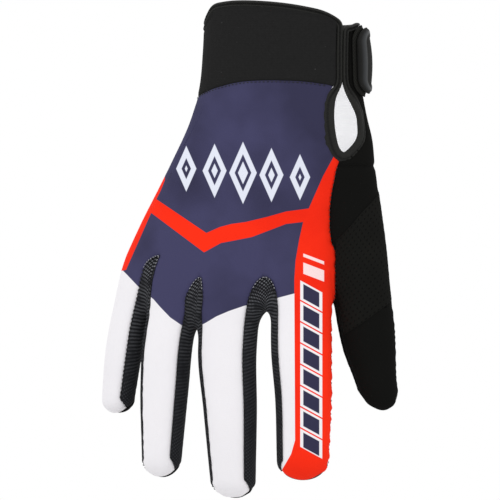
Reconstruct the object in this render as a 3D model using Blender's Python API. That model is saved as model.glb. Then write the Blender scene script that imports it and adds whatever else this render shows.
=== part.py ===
"""A right-hand riding glove, filled as if worn, held up at its wrist.

+Z runs up the forearm, -Y out of the back of the hand and +X to the thumb.
The origin is the middle of the wrist opening. Every panel lies on one smooth
hand form and is a thin wall inside it, so the glove is hollow throughout.
"""
import math

import bpy
import numpy as np

# Driving sizes, in metres.
GLOVE_LENGTH = 0.2435
HAND_WIDTH = 0.100
HAND_DEPTH = 0.044
FINGER_WIDTH = 0.031
FINGER_DEPTH = 0.021
THUMB_WIDTH = 0.031
THUMB_DEPTH = 0.027
CUFF_HEIGHT = 0.040
CUFF_RISE = 0.005
SHELL_WALL = 0.0012
MESH_WALL = 0.0010
PALM_WALL = 0.0014
CUFF_WALL = 0.0026
PATCH_WALL = 0.0009
SEAM_GAP = 0.0003
BINDING_WIDTH = 0.0031
BINDING_DEPTH = 0.0030
KEYHOLE_BAND = 0.0070
KEYHOLE_HEIGHT = 0.036
KEYHOLE_CLEAR = 0.0015
EDGE_CLEAR = 0.0003
CORNER_CLEAR = 0.0034
STRAP_TAPER = 0.48
STRAP_WIDTH = 0.036
STRAP_LENGTH = 0.044
STRAP_WALL = 0.0011
PLATE_WALL = 0.0015
PLATE_MARGIN = 0.0012
PLATE_CORNER = 0.008

# Where the fingers and the thumb begin to fade into the hand, and over what length.
FINGER_ROOT = 0.53
THUMB_ROOT = 0.27
ROOT_REACH = 0.13

# Fillets of the form: between neighbouring fingers, at the knuckles, at the thumb.
FINGER_FILLET = 0.0014
KNUCKLE_FILLET = 0.005
THUMB_FILLET = 0.004

# The hand from the cuff's edge to the webs. Level is a share of GLOVE_LENGTH below
# the origin, centre and half_width are shares of HAND_WIDTH, half_depth of
# HAND_DEPTH, arch is the sag of the sides, and power squares the section.
# Columns: level, centre, half_width, half_depth, arch, power.
HAND = (
    (-0.04, -0.027, 0.410, 0.500, 0.000, 2.0),
    (0.078, -0.030, 0.415, 0.500, 0.000, 2.0),
    (0.160, -0.036, 0.430, 0.480, 0.000, 2.1),
    (0.222, -0.050, 0.462, 0.450, 0.020, 2.2),
    (0.304, -0.145, 0.468, 0.415, 0.070, 2.4),
    (0.386, -0.235, 0.490, 0.385, 0.130, 2.5),
    (0.468, -0.300, 0.522, 0.355, 0.190, 2.5),
    (0.550, -0.360, 0.556, 0.310, 0.235, 2.5),
    (0.632, -0.390, 0.575, 0.262, 0.255, 2.5),
)

# Each finger: levels as shares of GLOVE_LENGTH, places as shares of HAND_WIDTH,
# half_width of FINGER_WIDTH and half_depth of FINGER_DEPTH. Turn and seams are in
# degrees about the finger. Columns of line: level, x, y, half_width, half_depth.
FINGERS = (
    {
        "name": "little", "turn": -26.0, "tip": 0.8270, "cap": 0.030,
        "seams": (-100.0, 46.0), "tip_seams": (-75.0, 50.0),
        "line": (
            (0.499, -0.766, 0.055, 0.360, 0.400),
            (0.571, -0.838, 0.070, 0.358, 0.400),
            (0.632, -0.885, 0.080, 0.355, 0.390),
            (0.715, -0.926, 0.092, 0.350, 0.380),
            (0.776, -0.952, 0.110, 0.318, 0.360),
        ),
    },
    {
        "name": "ring", "turn": -5.0, "tip": 0.9585, "cap": 0.041,
        "seams": (-50.0, 48.0), "tip_seams": (-50.0, 50.0),
        "line": (
            (0.530, -0.548, 0.015, 0.432, 0.476),
            (0.591, -0.604, 0.020, 0.432, 0.476),
            (0.674, -0.650, 0.020, 0.432, 0.466),
            (0.776, -0.675, 0.030, 0.412, 0.448),
            (0.899, -0.700, 0.060, 0.345, 0.419),
        ),
    },
    {
        "name": "middle", "turn": -2.0, "tip": 1.0000, "cap": 0.039,
        "seams": (-50.0, 48.0), "tip_seams": (-50.0, 50.0),
        "line": (
            (0.550, -0.275, 0.000, 0.498, 0.505),
            (0.612, -0.302, 0.000, 0.498, 0.500),
            (0.694, -0.322, 0.000, 0.500, 0.478),
            (0.817, -0.311, 0.010, 0.455, 0.457),
            (0.940, -0.314, 0.050, 0.394, 0.429),
        ),
    },
    {
        "name": "index", "turn": 19.0, "tip": 0.9625, "cap": 0.042,
        "seams": (-51.0, 100.0), "tip_seams": (-50.0, 75.0),
        "line": (
            (0.550, 0.069, 0.030, 0.484, 0.505),
            (0.612, 0.066, 0.030, 0.490, 0.500),
            (0.694, 0.066, 0.030, 0.492, 0.478),
            (0.797, 0.075, 0.035, 0.458, 0.457),
            (0.910, 0.062, 0.060, 0.426, 0.429),
        ),
    },
)

# Webs, from the little finger's to the index finger's: the top of the mesh arch on
# the back, the web's crown, the arch's top on the palm and where the hand rounds
# off, as shares of GLOVE_LENGTH, and the back arch's lean in shares of HAND_WIDTH.
WEBS = (
    {"back": 0.500, "mid": 0.6275, "palm": 0.600, "depth": 0.625, "lean": 0.036},
    {"back": 0.545, "mid": 0.6523, "palm": 0.618, "depth": 0.640, "lean": 0.030},
    {"back": 0.544, "mid": 0.6143, "palm": 0.598, "depth": 0.620, "lean": 0.014},
)
# Angles round the wrist at which the columns of the back and the palm begin.
BACK_TOP_ANGLES = (-100.0, -45.0, -5.0, 30.0)
PALM_TOP_ANGLES = (260.0, 228.0, 198.0, 170.0, 146.0)
# How far each arch takes to open to its full width, as a share of GLOVE_LENGTH.
ARCH_REACH = {"back": 0.052, "mid": 0.024, "palm": 0.034}

# The thumb: places as shares of HAND_WIDTH, half_width of THUMB_WIDTH and
# half_depth of THUMB_DEPTH.
THUMB_TURN = 22.0
THUMB_TIP = 0.8195
THUMB_CAP = 0.058
THUMB_SEAMS = {"inner": -164.0, "ridge": 5.0}
# Columns: level, x, y, half_width, half_depth.
THUMB = (
    (0.200, 0.255, 0.045, 0.400, 0.400),
    (0.250, 0.282, 0.058, 0.440, 0.430),
    (0.324, 0.283, 0.085, 0.475, 0.470),
    (0.407, 0.297, 0.130, 0.475, 0.500),
    (0.489, 0.312, 0.170, 0.468, 0.490),
    (0.571, 0.317, 0.210, 0.468, 0.480),
    (0.653, 0.334, 0.240, 0.458, 0.460),
    (0.694, 0.345, 0.250, 0.428, 0.430),
    (0.756, 0.372, 0.265, 0.345, 0.370),
    (0.819, 0.408, 0.272, 0.290, 0.320),
)
THUMB_START = 0.316
THUMB_WEB = 0.6065
THUMB_WEB_REACH = 0.040
# The palm's seam round the thumb's base, in degrees round the hand at each level.
THUMB_BASE_SEAM = ((0.316, 146.0), (0.45, 152.0), (0.53, 146.0))

# The cuff's upper edge round the wrist: degrees from the back towards the thumb,
# and the height over the origin as a share of CUFF_RISE.
CUFF_EDGE = (
    (-100.0, -1.0), (-76.0, -0.9), (-62.0, -0.1), (-52.0, 0.7), (-38.0, 1.0), (0.0, 1.0),
    (30.0, 0.45), (45.0, 0.0), (56.0, -0.6), (69.0, -1.4), (90.0, -1.15), (130.0, -1.3), (190.0, -1.3), (260.0, -1.0),
)
# The seam between the cuff and the hand's back, as a share of CUFF_HEIGHT.
CUFF_SEAM = ((-100.0, 1.08), (-60.0, 1.0), (-15.0, 0.86), (20.0, 0.855), (60.0, 0.93))
# The slit's two sides at the cuff's edge, in degrees round the hand.
SLIT_TOP = (61.0, 68.5)
# The route of the keyhole band's middle, from the slit round and back to it:
# degrees round the hand, and the share of KEYHOLE_HEIGHT below its head.
KEYHOLE_HEAD = 0.152
KEYHOLE = (
    (58.5, 0.00), (51.0, 0.10), (46.0, 0.25), (44.0, 0.42), (46.0, 0.58), (51.5, 0.74), (60.0, 0.89),
    (68.5, 0.975), (77.0, 1.00), (84.5, 0.975), (90.0, 0.88), (92.5, 0.74), (90.0, 0.58), (85.0, 0.42),
    (78.5, 0.26), (72.0, 0.12), (65.5, 0.00),
)
ULNAR_SEAM = -100.0
PATCH_TOP = (0.478, 0.362)
PATCH_BOTTOM = (0.668, 0.585)
PATCH_ACROSS = (0.08, 0.93)
STRAP_START = 74.0
STRAP_MIDDLE = -0.62
STRAP_LIFT = 0.0009
PLATE_CROWN = 0.0015
THUMB_SIDE_SEAM = ((0.316, 72.0), (0.40, 78.0), (0.50, 88.0))

# Mesh density: cells along and across each panel.
COLUMN_CELLS = 5
WRIST_ROWS = 9
HAND_ROWS = 6
HEEL_CELLS = 8
THUMB_CELLS = 7
PATCH_CELLS = 14
ARCH_ROWS = 4
FINGER_ROWS = 6
CAP_ROWS = 3
BINDING_STEPS = 96
BINDING_SIDES = 8
PROJECTION_ROUNDS = 9


def smooth_row(table, level):
    """Hermite curve through a table's rows, with the chord of its neighbours as slope."""
    rows = np.array(table, float)
    at = rows[:, 0]
    slopes = np.gradient(rows, at, axis=0)
    level = np.clip(np.asarray(level, float), at[0] - 0.25, at[-1] + 0.25)
    low = np.clip(np.searchsorted(at, level) - 1, 0, len(at) - 2)
    step = at[low + 1] - at[low]
    share = (level - at[low]) / step
    inside = np.clip(share, 0.0, 1.0)
    t, span = inside[..., None], step[..., None]
    value = ((2 * t**3 - 3 * t**2 + 1) * rows[low] + (t**3 - 2 * t**2 + t) * span * slopes[low]
             + (3 * t**2 - 2 * t**3) * rows[low + 1] + (t**3 - t**2) * span * slopes[low + 1])
    edge = np.where((share > 1.0)[..., None], slopes[low + 1], slopes[low])
    value = value + edge * ((share - inside) * step)[..., None]
    return [value[..., column] for column in range(1, rows.shape[1])]


def level_of(z):
    """Share of the glove's length below the origin."""
    return -z / GLOVE_LENGTH


def height_of(level):
    """Height of a level."""
    return -np.asarray(level, float) * GLOVE_LENGTH


def hand_section(z):
    """Centre, half width, half depth, arch and power of the hand at a height."""
    centre, half_width, half_depth, arch, power = smooth_row(HAND, level_of(z))
    return centre * HAND_WIDTH, half_width * HAND_WIDTH, half_depth * HAND_DEPTH, arch / HAND_WIDTH, power


def web_depths(x):
    """Knuckle height and the reach below it, to the web, at a place across the hand."""
    backs = [web["back"] for web in WEBS]
    depths = [web["depth"] for web in WEBS]
    places = np.array([-0.75, -0.48, -0.11]) * HAND_WIDTH
    knuckle = height_of(np.interp(x, places, backs))
    web = height_of(np.interp(x, places, depths))
    return knuckle, knuckle - web


def hand_form(p):
    """Distance-like value of the palm: an arched oval that rounds off at the webs."""
    centre, half_width, half_depth, arch, power = hand_section(p[..., 2])
    across = p[..., 0] - centre
    out = p[..., 1] - arch * across**2
    knuckle, reach = web_depths(p[..., 0])
    below = np.maximum(0.0, knuckle - p[..., 2]) / reach
    flat = (np.abs(across / half_width)**power + np.abs(out / half_depth)**power)**(1 / power)
    return (np.sqrt(flat**2 + below**2) - 1.0) * half_depth


def tube_frame(turn):
    """Sideways and outward directions of a finger that is turned about +Z."""
    angle = math.radians(turn)
    side = np.array([math.cos(angle), math.sin(angle), 0.0])
    out = np.array([math.sin(angle), -math.cos(angle), 0.0])
    return side, out


def finger_section(finger, z):
    """Centre point, half width and half depth of a finger at a height."""
    x, y, half_width, half_depth = smooth_row(finger["line"], level_of(z))
    centre = np.stack([x * HAND_WIDTH, y * HAND_WIDTH, np.asarray(z, float) + 0 * x], axis=-1)
    return centre, half_width * FINGER_WIDTH, half_depth * FINGER_DEPTH


def thumb_section(z):
    """Centre point, half width and half depth of the thumb at a height."""
    x, y, half_width, half_depth = smooth_row(THUMB, level_of(z))
    centre = np.stack([x * HAND_WIDTH, y * HAND_WIDTH, np.asarray(z, float) + 0 * x], axis=-1)
    return centre, half_width * THUMB_WIDTH, half_depth * THUMB_DEPTH


def cap_height(part):
    """Height at which a finger's rounded end begins, and the end's length."""
    if part is None:
        return float(height_of(THUMB_TIP - THUMB_CAP)), THUMB_CAP * GLOVE_LENGTH
    return float(height_of(part["tip"] - part["cap"])), part["cap"] * GLOVE_LENGTH


def section_of(part, z):
    """Section of a finger, or of the thumb where part is None."""
    return thumb_section(z) if part is None else finger_section(part, z)


def turn_of(part):
    """Turn of a finger or the thumb about +Z."""
    return THUMB_TURN if part is None else part["turn"]


def tube_form(part, p):
    """Distance-like value of one finger: an oval tube with a half-ellipsoid end."""
    side, out = tube_frame(turn_of(part))
    shoulder, reach = cap_height(part)
    centre, _, _ = section_of(part, p[..., 2])
    _, half_width, half_depth = section_of(part, np.maximum(p[..., 2], shoulder))
    away = p - centre
    below = np.maximum(0.0, shoulder - p[..., 2]) / reach
    root = height_of(THUMB_ROOT if part is None else FINGER_ROOT)
    above = np.maximum(0.0, p[..., 2] - root) / (ROOT_REACH * GLOVE_LENGTH)
    length = np.sqrt((away @ side / half_width)**2 + (away @ out / half_depth)**2 + below**2 + above**2)
    return (length - 1.0) * half_depth


def blend_min(a, b, fillet):
    """Smooth minimum of two forms, with a fillet of the given size."""
    mix = np.clip(0.5 + 0.5 * (b - a) / fillet, 0.0, 1.0)
    return b + (a - b) * mix - fillet * mix * (1.0 - mix)


def glove_form(p):
    """The whole outer form: zero on the glove's outside, negative within."""
    fingers = tube_form(FINGERS[0], p)
    for finger in FINGERS[1:]:
        fingers = blend_min(fingers, tube_form(finger, p), FINGER_FILLET)
    body = blend_min(hand_form(p), fingers, KNUCKLE_FILLET)
    return blend_min(body, tube_form(None, p), THUMB_FILLET)


def slope(p):
    """Gradient of the form by central differences."""
    step = 2e-5
    parts = []
    for axis in range(3):
        move = np.zeros(3)
        move[axis] = step
        parts.append((glove_form(p + move) - glove_form(p - move)) / (2 * step))
    return np.stack(parts, axis=-1)


def outward(p):
    """Unit outward direction of the form."""
    direction = slope(p)
    return direction / np.linalg.norm(direction, axis=-1, keepdims=True)


def onto_form(p, level=False):
    """Newton steps along the slope that bring points onto the outside, sideways only where level."""
    p = np.array(p, float)
    for _ in range(PROJECTION_ROUNDS):
        direction = slope(p)
        direction[..., 2] = np.where(level, 0.0, direction[..., 2])
        size = np.maximum((direction**2).sum(-1, keepdims=True), 1e-3)
        move = glove_form(p)[..., None] * direction / size
        length = np.linalg.norm(move, axis=-1, keepdims=True)
        p = p - move * np.minimum(1.0, 0.004 / np.maximum(length, 1e-9))
    return p


def hand_point(z, degrees):
    """Point of the bare palm section at an angle from the back towards the thumb."""
    centre, half_width, half_depth, arch, power = hand_section(z)
    angle = np.radians(degrees)
    sine, cosine = np.sin(angle), np.cos(angle)
    across = half_width * np.sign(sine) * np.abs(sine)**(2 / power)
    out = -half_depth * np.sign(cosine) * np.abs(cosine)**(2 / power)
    return np.stack([centre + across, out + arch * across**2, z + 0 * across], axis=-1)


def hand_face(x, z, face):
    """Point of the bare palm section on the back (-1) or palm (+1) side at x."""
    centre, half_width, half_depth, arch, power = hand_section(z)
    across = x - centre
    knuckle, reach = web_depths(x)
    below = np.clip((knuckle - z) / reach, 0.0, 0.97)
    rest = np.maximum(1e-3, 1.0 - np.abs(across / half_width)**power)**(1 / power)
    y = arch * across**2 + face * half_depth * rest * np.sqrt(1.0 - below**2)
    return np.stack([x + 0 * z, y, z + 0 * x], axis=-1)


def tube_point(part, z, degrees):
    """Point of a finger at an angle from its back towards the thumb side."""
    side, out = tube_frame(turn_of(part))
    centre, half_width, half_depth = section_of(part, z)
    angle = np.radians(degrees)
    return (centre + np.multiply(half_width, np.sin(angle))[..., None] * side
            + np.multiply(half_depth, np.cos(angle))[..., None] * out)


def cap_point(part, degrees, end_degrees, share):
    """Point on a finger's rounded end, from its shoulder (0) to the end seam (1)."""
    side, out = tube_frame(turn_of(part))
    shoulder, reach = cap_height(part)
    share = np.asarray(share, float)[..., None]
    start, end = math.radians(degrees), math.radians(end_degrees)
    first = np.array([math.sin(start), math.cos(start), 0.0])
    last = np.array([math.sin(end), 0.0, math.cos(end)])
    unit = (1 - share) * first + share * last
    unit = unit / np.linalg.norm(unit, axis=-1, keepdims=True)
    z = shoulder - reach * unit[..., 2]
    centre, _, _ = section_of(part, z)
    _, half_width, half_depth = section_of(part, np.full_like(z, shoulder))
    return centre + (half_width * unit[..., 0])[..., None] * side + (half_depth * unit[..., 1])[..., None] * out


def ease(value, start, end):
    """Smooth step from 0 at start to 1 at end."""
    share = np.clip((value - start) / (end - start), 0.0, 1.0)
    return share * share * (3 - 2 * share)


FACE_ANGLES = {"back": None, "mid": 90.0, "palm": 130.0}


def web_angles(web, face):
    """Angles of the seams on the two fingers beside a web."""
    if face == "back":
        return FINGERS[web]["seams"][1], FINGERS[web + 1]["seams"][0]
    return FACE_ANGLES[face], -FACE_ANGLES[face]


def web_middle(web, face, z):
    """Line midway between two fingers; above the arch it fans to the wrist."""
    top = height_of(WEBS[web][face])
    right, left = web_angles(web, face)
    low = np.minimum(z, top)
    near = tube_point(FINGERS[web], low, right)
    far = tube_point(FINGERS[web + 1], low, left)
    middle = (near + far) / 2
    if face == "mid":
        return middle
    angle = top_angles(face)[web + 1]
    rise = np.clip((z - top) / (panel_top(face, angle) - top), 0.0, 1.0)
    if face == "back":
        middle = middle + np.array([WEBS[web]["lean"] * HAND_WIDTH, 0.0, 0.0])
    x = middle[..., 0] + (hand_point(z, angle)[..., 0] - middle[..., 0]) * rise
    return hand_face(x, z, -1 if face == "back" else 1)


def web_edge(web, side, face, z):
    """Seam beside a web: the shared middle line above its arch, then the finger."""
    top = height_of(WEBS[web][face])
    reach = ARCH_REACH[face] * GLOVE_LENGTH
    open_share = np.clip((top - z) / reach, 0.0, 1.0)
    spread = np.sqrt(np.maximum(0.0, 1 - (1 - open_share)**2))[..., None]
    angle = web_angles(web, face)[side]
    finger = tube_point(FINGERS[web + side], z, angle)
    return web_middle(web, face, z) * (1 - spread) + finger * spread


def thumb_web_middle(z):
    """Line midway between the index finger's side and the thumb's inner side."""
    index = tube_point(FINGERS[3], z, FINGERS[3]["seams"][1])
    thumb = thumb_line("inner", z)
    return (index + thumb) / 2


def thumb_line(name, z):
    """Seam line of the bare thumb."""
    return tube_point(None, z, 90.0 + THUMB_SEAMS[name])


def arc_rate(z, degrees):
    """Metres round the section for each degree."""
    before, after = hand_point(z, degrees - 0.5), hand_point(z, degrees + 0.5)
    return np.linalg.norm(after - before, axis=-1)


def opening_route(count):
    """Angles and heights down the slit, round the keyhole and up the slit again."""
    steps = np.arange(len(KEYHOLE))
    table = [(step,) + row for step, row in zip(steps, KEYHOLE)]
    degrees, share = smooth_row(table, np.linspace(0, len(KEYHOLE) - 1, count))
    head = float(height_of(KEYHOLE_HEAD))
    left, right = SLIT_TOP
    down = np.linspace(float(cuff_edge(left)), head, 16)[:-1]
    up = np.linspace(head, float(cuff_edge(right)), 16)[1:]
    inward = np.linspace(left, KEYHOLE[0][0], 16)[:-1]
    outward_again = np.linspace(KEYHOLE[-1][0], right, 16)[1:]
    degrees = np.concatenate([inward, degrees, outward_again])
    height = np.concatenate([down, head - share * KEYHOLE_HEIGHT, up])
    for _ in range(3):
        degrees[1:-1] = (degrees[:-2] + 2 * degrees[1:-1] + degrees[2:]) / 4
        height[1:-1] = (height[:-2] + 2 * height[1:-1] + height[2:]) / 4
    return degrees, height


def band_half(z):
    """Half of the binding's width: narrow along the slit, wide round the keyhole."""
    head = height_of(KEYHOLE_HEAD)
    wide = ease(z, head, head - 0.010)
    return (BINDING_WIDTH + (KEYHOLE_BAND - BINDING_WIDTH) * wide) / 2


def slit_edge(z, side):
    """Angle of the panels' edge beside the slit and the keyhole, clear of the binding."""
    degrees, height = opening_route(121)
    rate = arc_rate(height, degrees)
    along = np.stack([np.gradient(degrees) * rate, np.gradient(height)], axis=-1)
    along /= np.linalg.norm(along, axis=-1, keepdims=True)
    head = height_of(KEYHOLE_HEAD)
    clear = band_half(height) + SEAM_GAP + KEYHOLE_CLEAR * ease(height, head, head - 0.010)
    rim_degrees = degrees + along[:, 1] * clear / rate
    rim_height = height - along[:, 0] * clear
    half = int(np.argmin(rim_height))
    part = slice(0, half + 1) if side == "left" else slice(len(degrees) - 1, half - 1, -1)
    order = np.argsort(rim_height[part])
    angle = np.interp(z, rim_height[part][order], rim_degrees[part][order])
    return np.where(z < rim_height[half], THUMB_SIDE_SEAM[0][1], angle)


def back_thumb_edge(z):
    """The back panel's thumb side: keyhole, thumb's root, web, index finger."""
    level = level_of(z)
    bottom = height_of(KEYHOLE_HEAD) - KEYHOLE_HEIGHT
    side_angle = np.interp(level, [row[0] for row in THUMB_SIDE_SEAM], [row[1] for row in THUMB_SIDE_SEAM])
    angle = np.where(z > bottom - KEYHOLE_BAND, np.minimum(slit_edge(z, "left"), side_angle), side_angle)
    hand = hand_point(z, angle)
    web = height_of(THUMB_WEB)
    near = ease(z, web + 0.034, web)[..., None]
    above = hand * (1 - near) + thumb_web_middle(np.minimum(z, web)) * near
    above[..., 2] = z
    open_share = np.clip((web - z) / (THUMB_WEB_REACH * GLOVE_LENGTH), 0.0, 1.0)
    spread = np.sqrt(np.maximum(0.0, 1 - (1 - open_share)**2))[..., None]
    index = tube_point(FINGERS[3], z, FINGERS[3]["seams"][1])
    below = thumb_web_middle(z) * (1 - spread) + index * spread
    return np.where((z > web)[..., None], above, below)


def palm_thumb_edge(z):
    """The palm's thumb side below the thumb's start: round its base to the web."""
    web = height_of(THUMB_WEB)
    angle = np.interp(level_of(z), [row[0] for row in THUMB_BASE_SEAM], [row[1] for row in THUMB_BASE_SEAM])
    hand = hand_point(z, angle)
    near = ease(z, web + 0.040, web)[..., None]
    above = hand * (1 - near) + thumb_web_middle(np.minimum(z, web)) * near
    above[..., 2] = z
    return np.where((z > web)[..., None], above, back_thumb_edge(z))


def thumb_inner_edge(z, face):
    """The thumb panels' inner edge: the hand's seam above the web, then the thumb."""
    web = height_of(THUMB_WEB)
    above = back_thumb_edge(z) if face == "back" else palm_thumb_edge(z)
    open_share = np.clip((web - z) / (THUMB_WEB_REACH * GLOVE_LENGTH), 0.0, 1.0)
    spread = np.sqrt(np.maximum(0.0, 1 - (1 - open_share)**2))[..., None]
    below = thumb_web_middle(z) * (1 - spread) + thumb_line("inner", z) * spread
    return np.where((z > web)[..., None], above, below)


def ulnar_edge(z):
    """Seam along the little finger's side of the hand."""
    hand = hand_point(z, np.full_like(z, ULNAR_SEAM))
    finger = tube_point(FINGERS[0], z, FINGERS[0]["seams"][0])
    share = ease(z, height_of(0.46), height_of(0.62))[..., None]
    return hand * (1 - share) + finger * share


def panel_edge(number, side, face, z):
    """Left (0) or right (1) edge of a finger's column on the back or the palm."""
    if side == 0 and number == 0:
        return ulnar_edge(z)
    if side == 1 and number == 3:
        return back_thumb_edge(z) if face == "back" else palm_thumb_edge(z)
    web = number - 1 if side == 0 else number
    return web_edge(web, 1 - side, face, z)


def column_angles(number, face):
    """Seam angles of a finger's column, on the finger and at its end."""
    finger = FINGERS[number]
    left, right = finger["seams"]
    if face == "palm":
        left = left if number == 0 else -FACE_ANGLES["palm"]
        right = right if number == 3 else FACE_ANGLES["palm"]
        left = left + 360.0
    return (left, right), finger["tip_seams"]


def column_middle(number, face, z, heights):
    """Middle line of a finger's column."""
    (left, right), _ = column_angles(number, face)
    finger = tube_point(FINGERS[number], z, (left + right) / 2)
    ends = [panel_edge(number, side, face, heights[side]) for side in (0, 1)]
    x = (ends[0][..., 0] + ends[1][..., 0]) / 2
    hand = hand_face(x, z, -1 if face == "back" else 1)
    share = ease(z, height_of(0.46), height_of(0.60))[..., None]
    return hand * (1 - share) + finger * share


def sheet(left, middle, right, cells, level=False):
    """Grid of points between two seams: a parabola through three curves, on the form."""
    share = np.linspace(0.0, 1.0, cells + 1)[None, :, None]
    curve = (left[:, None] * (1 - share) * (1 - 2 * share) + middle[:, None] * 4 * share * (1 - share)
             + right[:, None] * share * (2 * share - 1))
    return onto_form(curve, level)


def arch_heights(top, reach, rows):
    """Heights that step evenly round an arch's opening."""
    turn = np.linspace(0.0, math.pi / 2, rows + 1)
    return top - reach * (1 - np.cos(turn))


def column_heights(number, side, face, start):
    """Row heights along one edge of a column: wrist, hand, arch and finger."""
    thumb = float(height_of(THUMB_START))
    shoulder, _ = cap_height(FINGERS[number])
    top, reach = height_of(THUMB_WEB), THUMB_WEB_REACH * GLOVE_LENGTH
    if side == 0 and number == 0:
        top, reach = height_of(WEBS[0]["back"]), ARCH_REACH["back"] * GLOVE_LENGTH
    elif not (side == 1 and number == 3):
        web = WEBS[number - 1 + side]
        top, reach = height_of(web[face]), ARCH_REACH[face] * GLOVE_LENGTH
    rows = [wrist_heights(start, thumb)]
    rows.append(np.linspace(thumb, top, HAND_ROWS + 1)[1:])
    rows.append(arch_heights(top, reach, ARCH_ROWS)[1:])
    rows.append(np.linspace(top - reach, shoulder, FINGER_ROWS + 1)[1:])
    return np.concatenate(rows)


def under_binding(degrees):
    """Height of the edge below the binding, lower at the slit's two corners."""
    left, right = SLIT_TOP
    away = np.maximum(left - np.asarray(degrees, float), np.asarray(degrees, float) - right)
    clear = EDGE_CLEAR + CORNER_CLEAR * ease(away, 22.0, 8.0)
    return cuff_edge(degrees) - BINDING_WIDTH / 2 - SEAM_GAP - clear


def panel_top(face, degrees):
    """Height of a panel's upper edge at an angle round the wrist."""
    if face == "back":
        angles, shares = zip(*CUFF_SEAM)
        return -np.interp(degrees, angles, shares) * CUFF_HEIGHT
    return under_binding(degrees)


def wrist_heights(start, end):
    """Row heights from a panel's upper edge to the thumb's root, close below the keyhole."""
    return start + (end - start) * np.sin(np.linspace(0.0, math.pi / 2, WRIST_ROWS + 1))


def cuff_edge(degrees):
    """Height of the binding's middle round the wrist."""
    return smooth_row(CUFF_EDGE, degrees)[0] * CUFF_RISE - BINDING_WIDTH / 2


def top_angles(face):
    """Angles round the wrist at which the panel's columns begin."""
    if face == "palm":
        return PALM_TOP_ANGLES
    corner = slit_edge(np.array(-CUFF_SEAM[-1][1] * CUFF_HEIGHT), "left")
    return BACK_TOP_ANGLES + (float(corner),)


def top_row(face, first, last, cells):
    """Points along a panel's upper edge between two angles."""
    degrees = np.linspace(first, last, cells + 1)
    return onto_form(hand_point(panel_top(face, degrees), degrees), True)


def column_grid(number, face):
    """One finger's column, from the panel's upper edge to the finger's end."""
    angles = top_angles(face)
    thumb = float(height_of(THUMB_START))
    edges, heights = [], []
    for side in (0, 1):
        z = column_heights(number, side, face, float(panel_top(face, angles[number + side])))
        edges.append(onto_form(panel_edge(number, side, face, z), z > thumb - 1e-6))
        heights.append(z)
    z = (heights[0] + heights[1]) / 2
    (left_angle, right_angle), (left_end, right_end) = column_angles(number, face)
    shares = np.linspace(0.0, 1.0, CAP_ROWS + 1)[1:]
    finger = FINGERS[number]
    left = np.concatenate([edges[0], onto_form(cap_point(finger, left_angle, left_end, shares))])
    middle = np.concatenate([column_middle(number, face, z, heights),
                             cap_point(finger, (left_angle + right_angle) / 2, (left_end + right_end) / 2, shares)])
    right = np.concatenate([edges[1], onto_form(cap_point(finger, right_angle, right_end, shares))])
    level = np.arange(len(left)) <= WRIST_ROWS
    grid = sheet(left, middle, right, COLUMN_CELLS, level[:, None])
    grid[:, 0], grid[:, -1] = left, right
    grid[0] = top_row(face, angles[number], angles[number + 1], COLUMN_CELLS)
    return grid


def web_curve(web, side, face):
    """One seam of a fourchette on one finger, from the finger's end up to the arch."""
    finger = FINGERS[web + side]
    shoulder, _ = cap_height(finger)
    top = float(height_of(WEBS[web][face]))
    reach = ARCH_REACH[face] * GLOVE_LENGTH
    angle = web_angles(web, face)[side]
    end = finger["tip_seams"][1 - side]
    shares = np.linspace(0.88, 0.0, CAP_ROWS + 1)
    z = np.concatenate([np.linspace(shoulder, top - reach, FINGER_ROWS + 1)[1:],
                        arch_heights(top, reach, ARCH_ROWS)[::-1][1:]])
    return np.concatenate([cap_point(finger, angle, end, shares), web_edge(web, side, face, z)])


def fourchette_grid(web):
    """Mesh side wall of two fingers: down one, round the web and up the other."""
    curves = []
    for face in ("back", "mid", "palm"):
        near = web_curve(web, 0, face)
        far = web_curve(web, 1, face)[::-1][1:]
        curves.append(np.concatenate([near, far]))
    edges = [onto_form(curves[0]), onto_form(curves[2])]
    grid = sheet(edges[0], curves[1], edges[1], 4)
    grid[:, 0], grid[:, -1] = edges
    return grid


def heel_grid():
    """Palm's column from the keyhole's palm side to the thumb's base seam."""
    thumb = float(height_of(THUMB_START))
    seam = THUMB_BASE_SEAM[0][1]
    near = wrist_heights(float(panel_top("palm", KEYHOLE[-1][0])), thumb)
    far = wrist_heights(float(panel_top("palm", seam)), thumb)
    left = onto_form(hand_point(near, slit_edge(near, "right")), True)
    right = onto_form(hand_point(far, np.full_like(far, seam)), True)
    z = (near + far) / 2
    fade = ease(z, thumb + 0.040, thumb)[:, None]
    middle = hand_point(z, (slit_edge(near, "right") + seam) / 2) * (1 - fade) + thumb_line("ridge", z) * fade
    grid = sheet(left, middle, right, HEEL_CELLS, True)
    grid[:, 0], grid[:, -1] = left, right
    grid[0] = top_row("palm", float(slit_edge(near[0], "right")), seam, HEEL_CELLS)
    return grid


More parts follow.
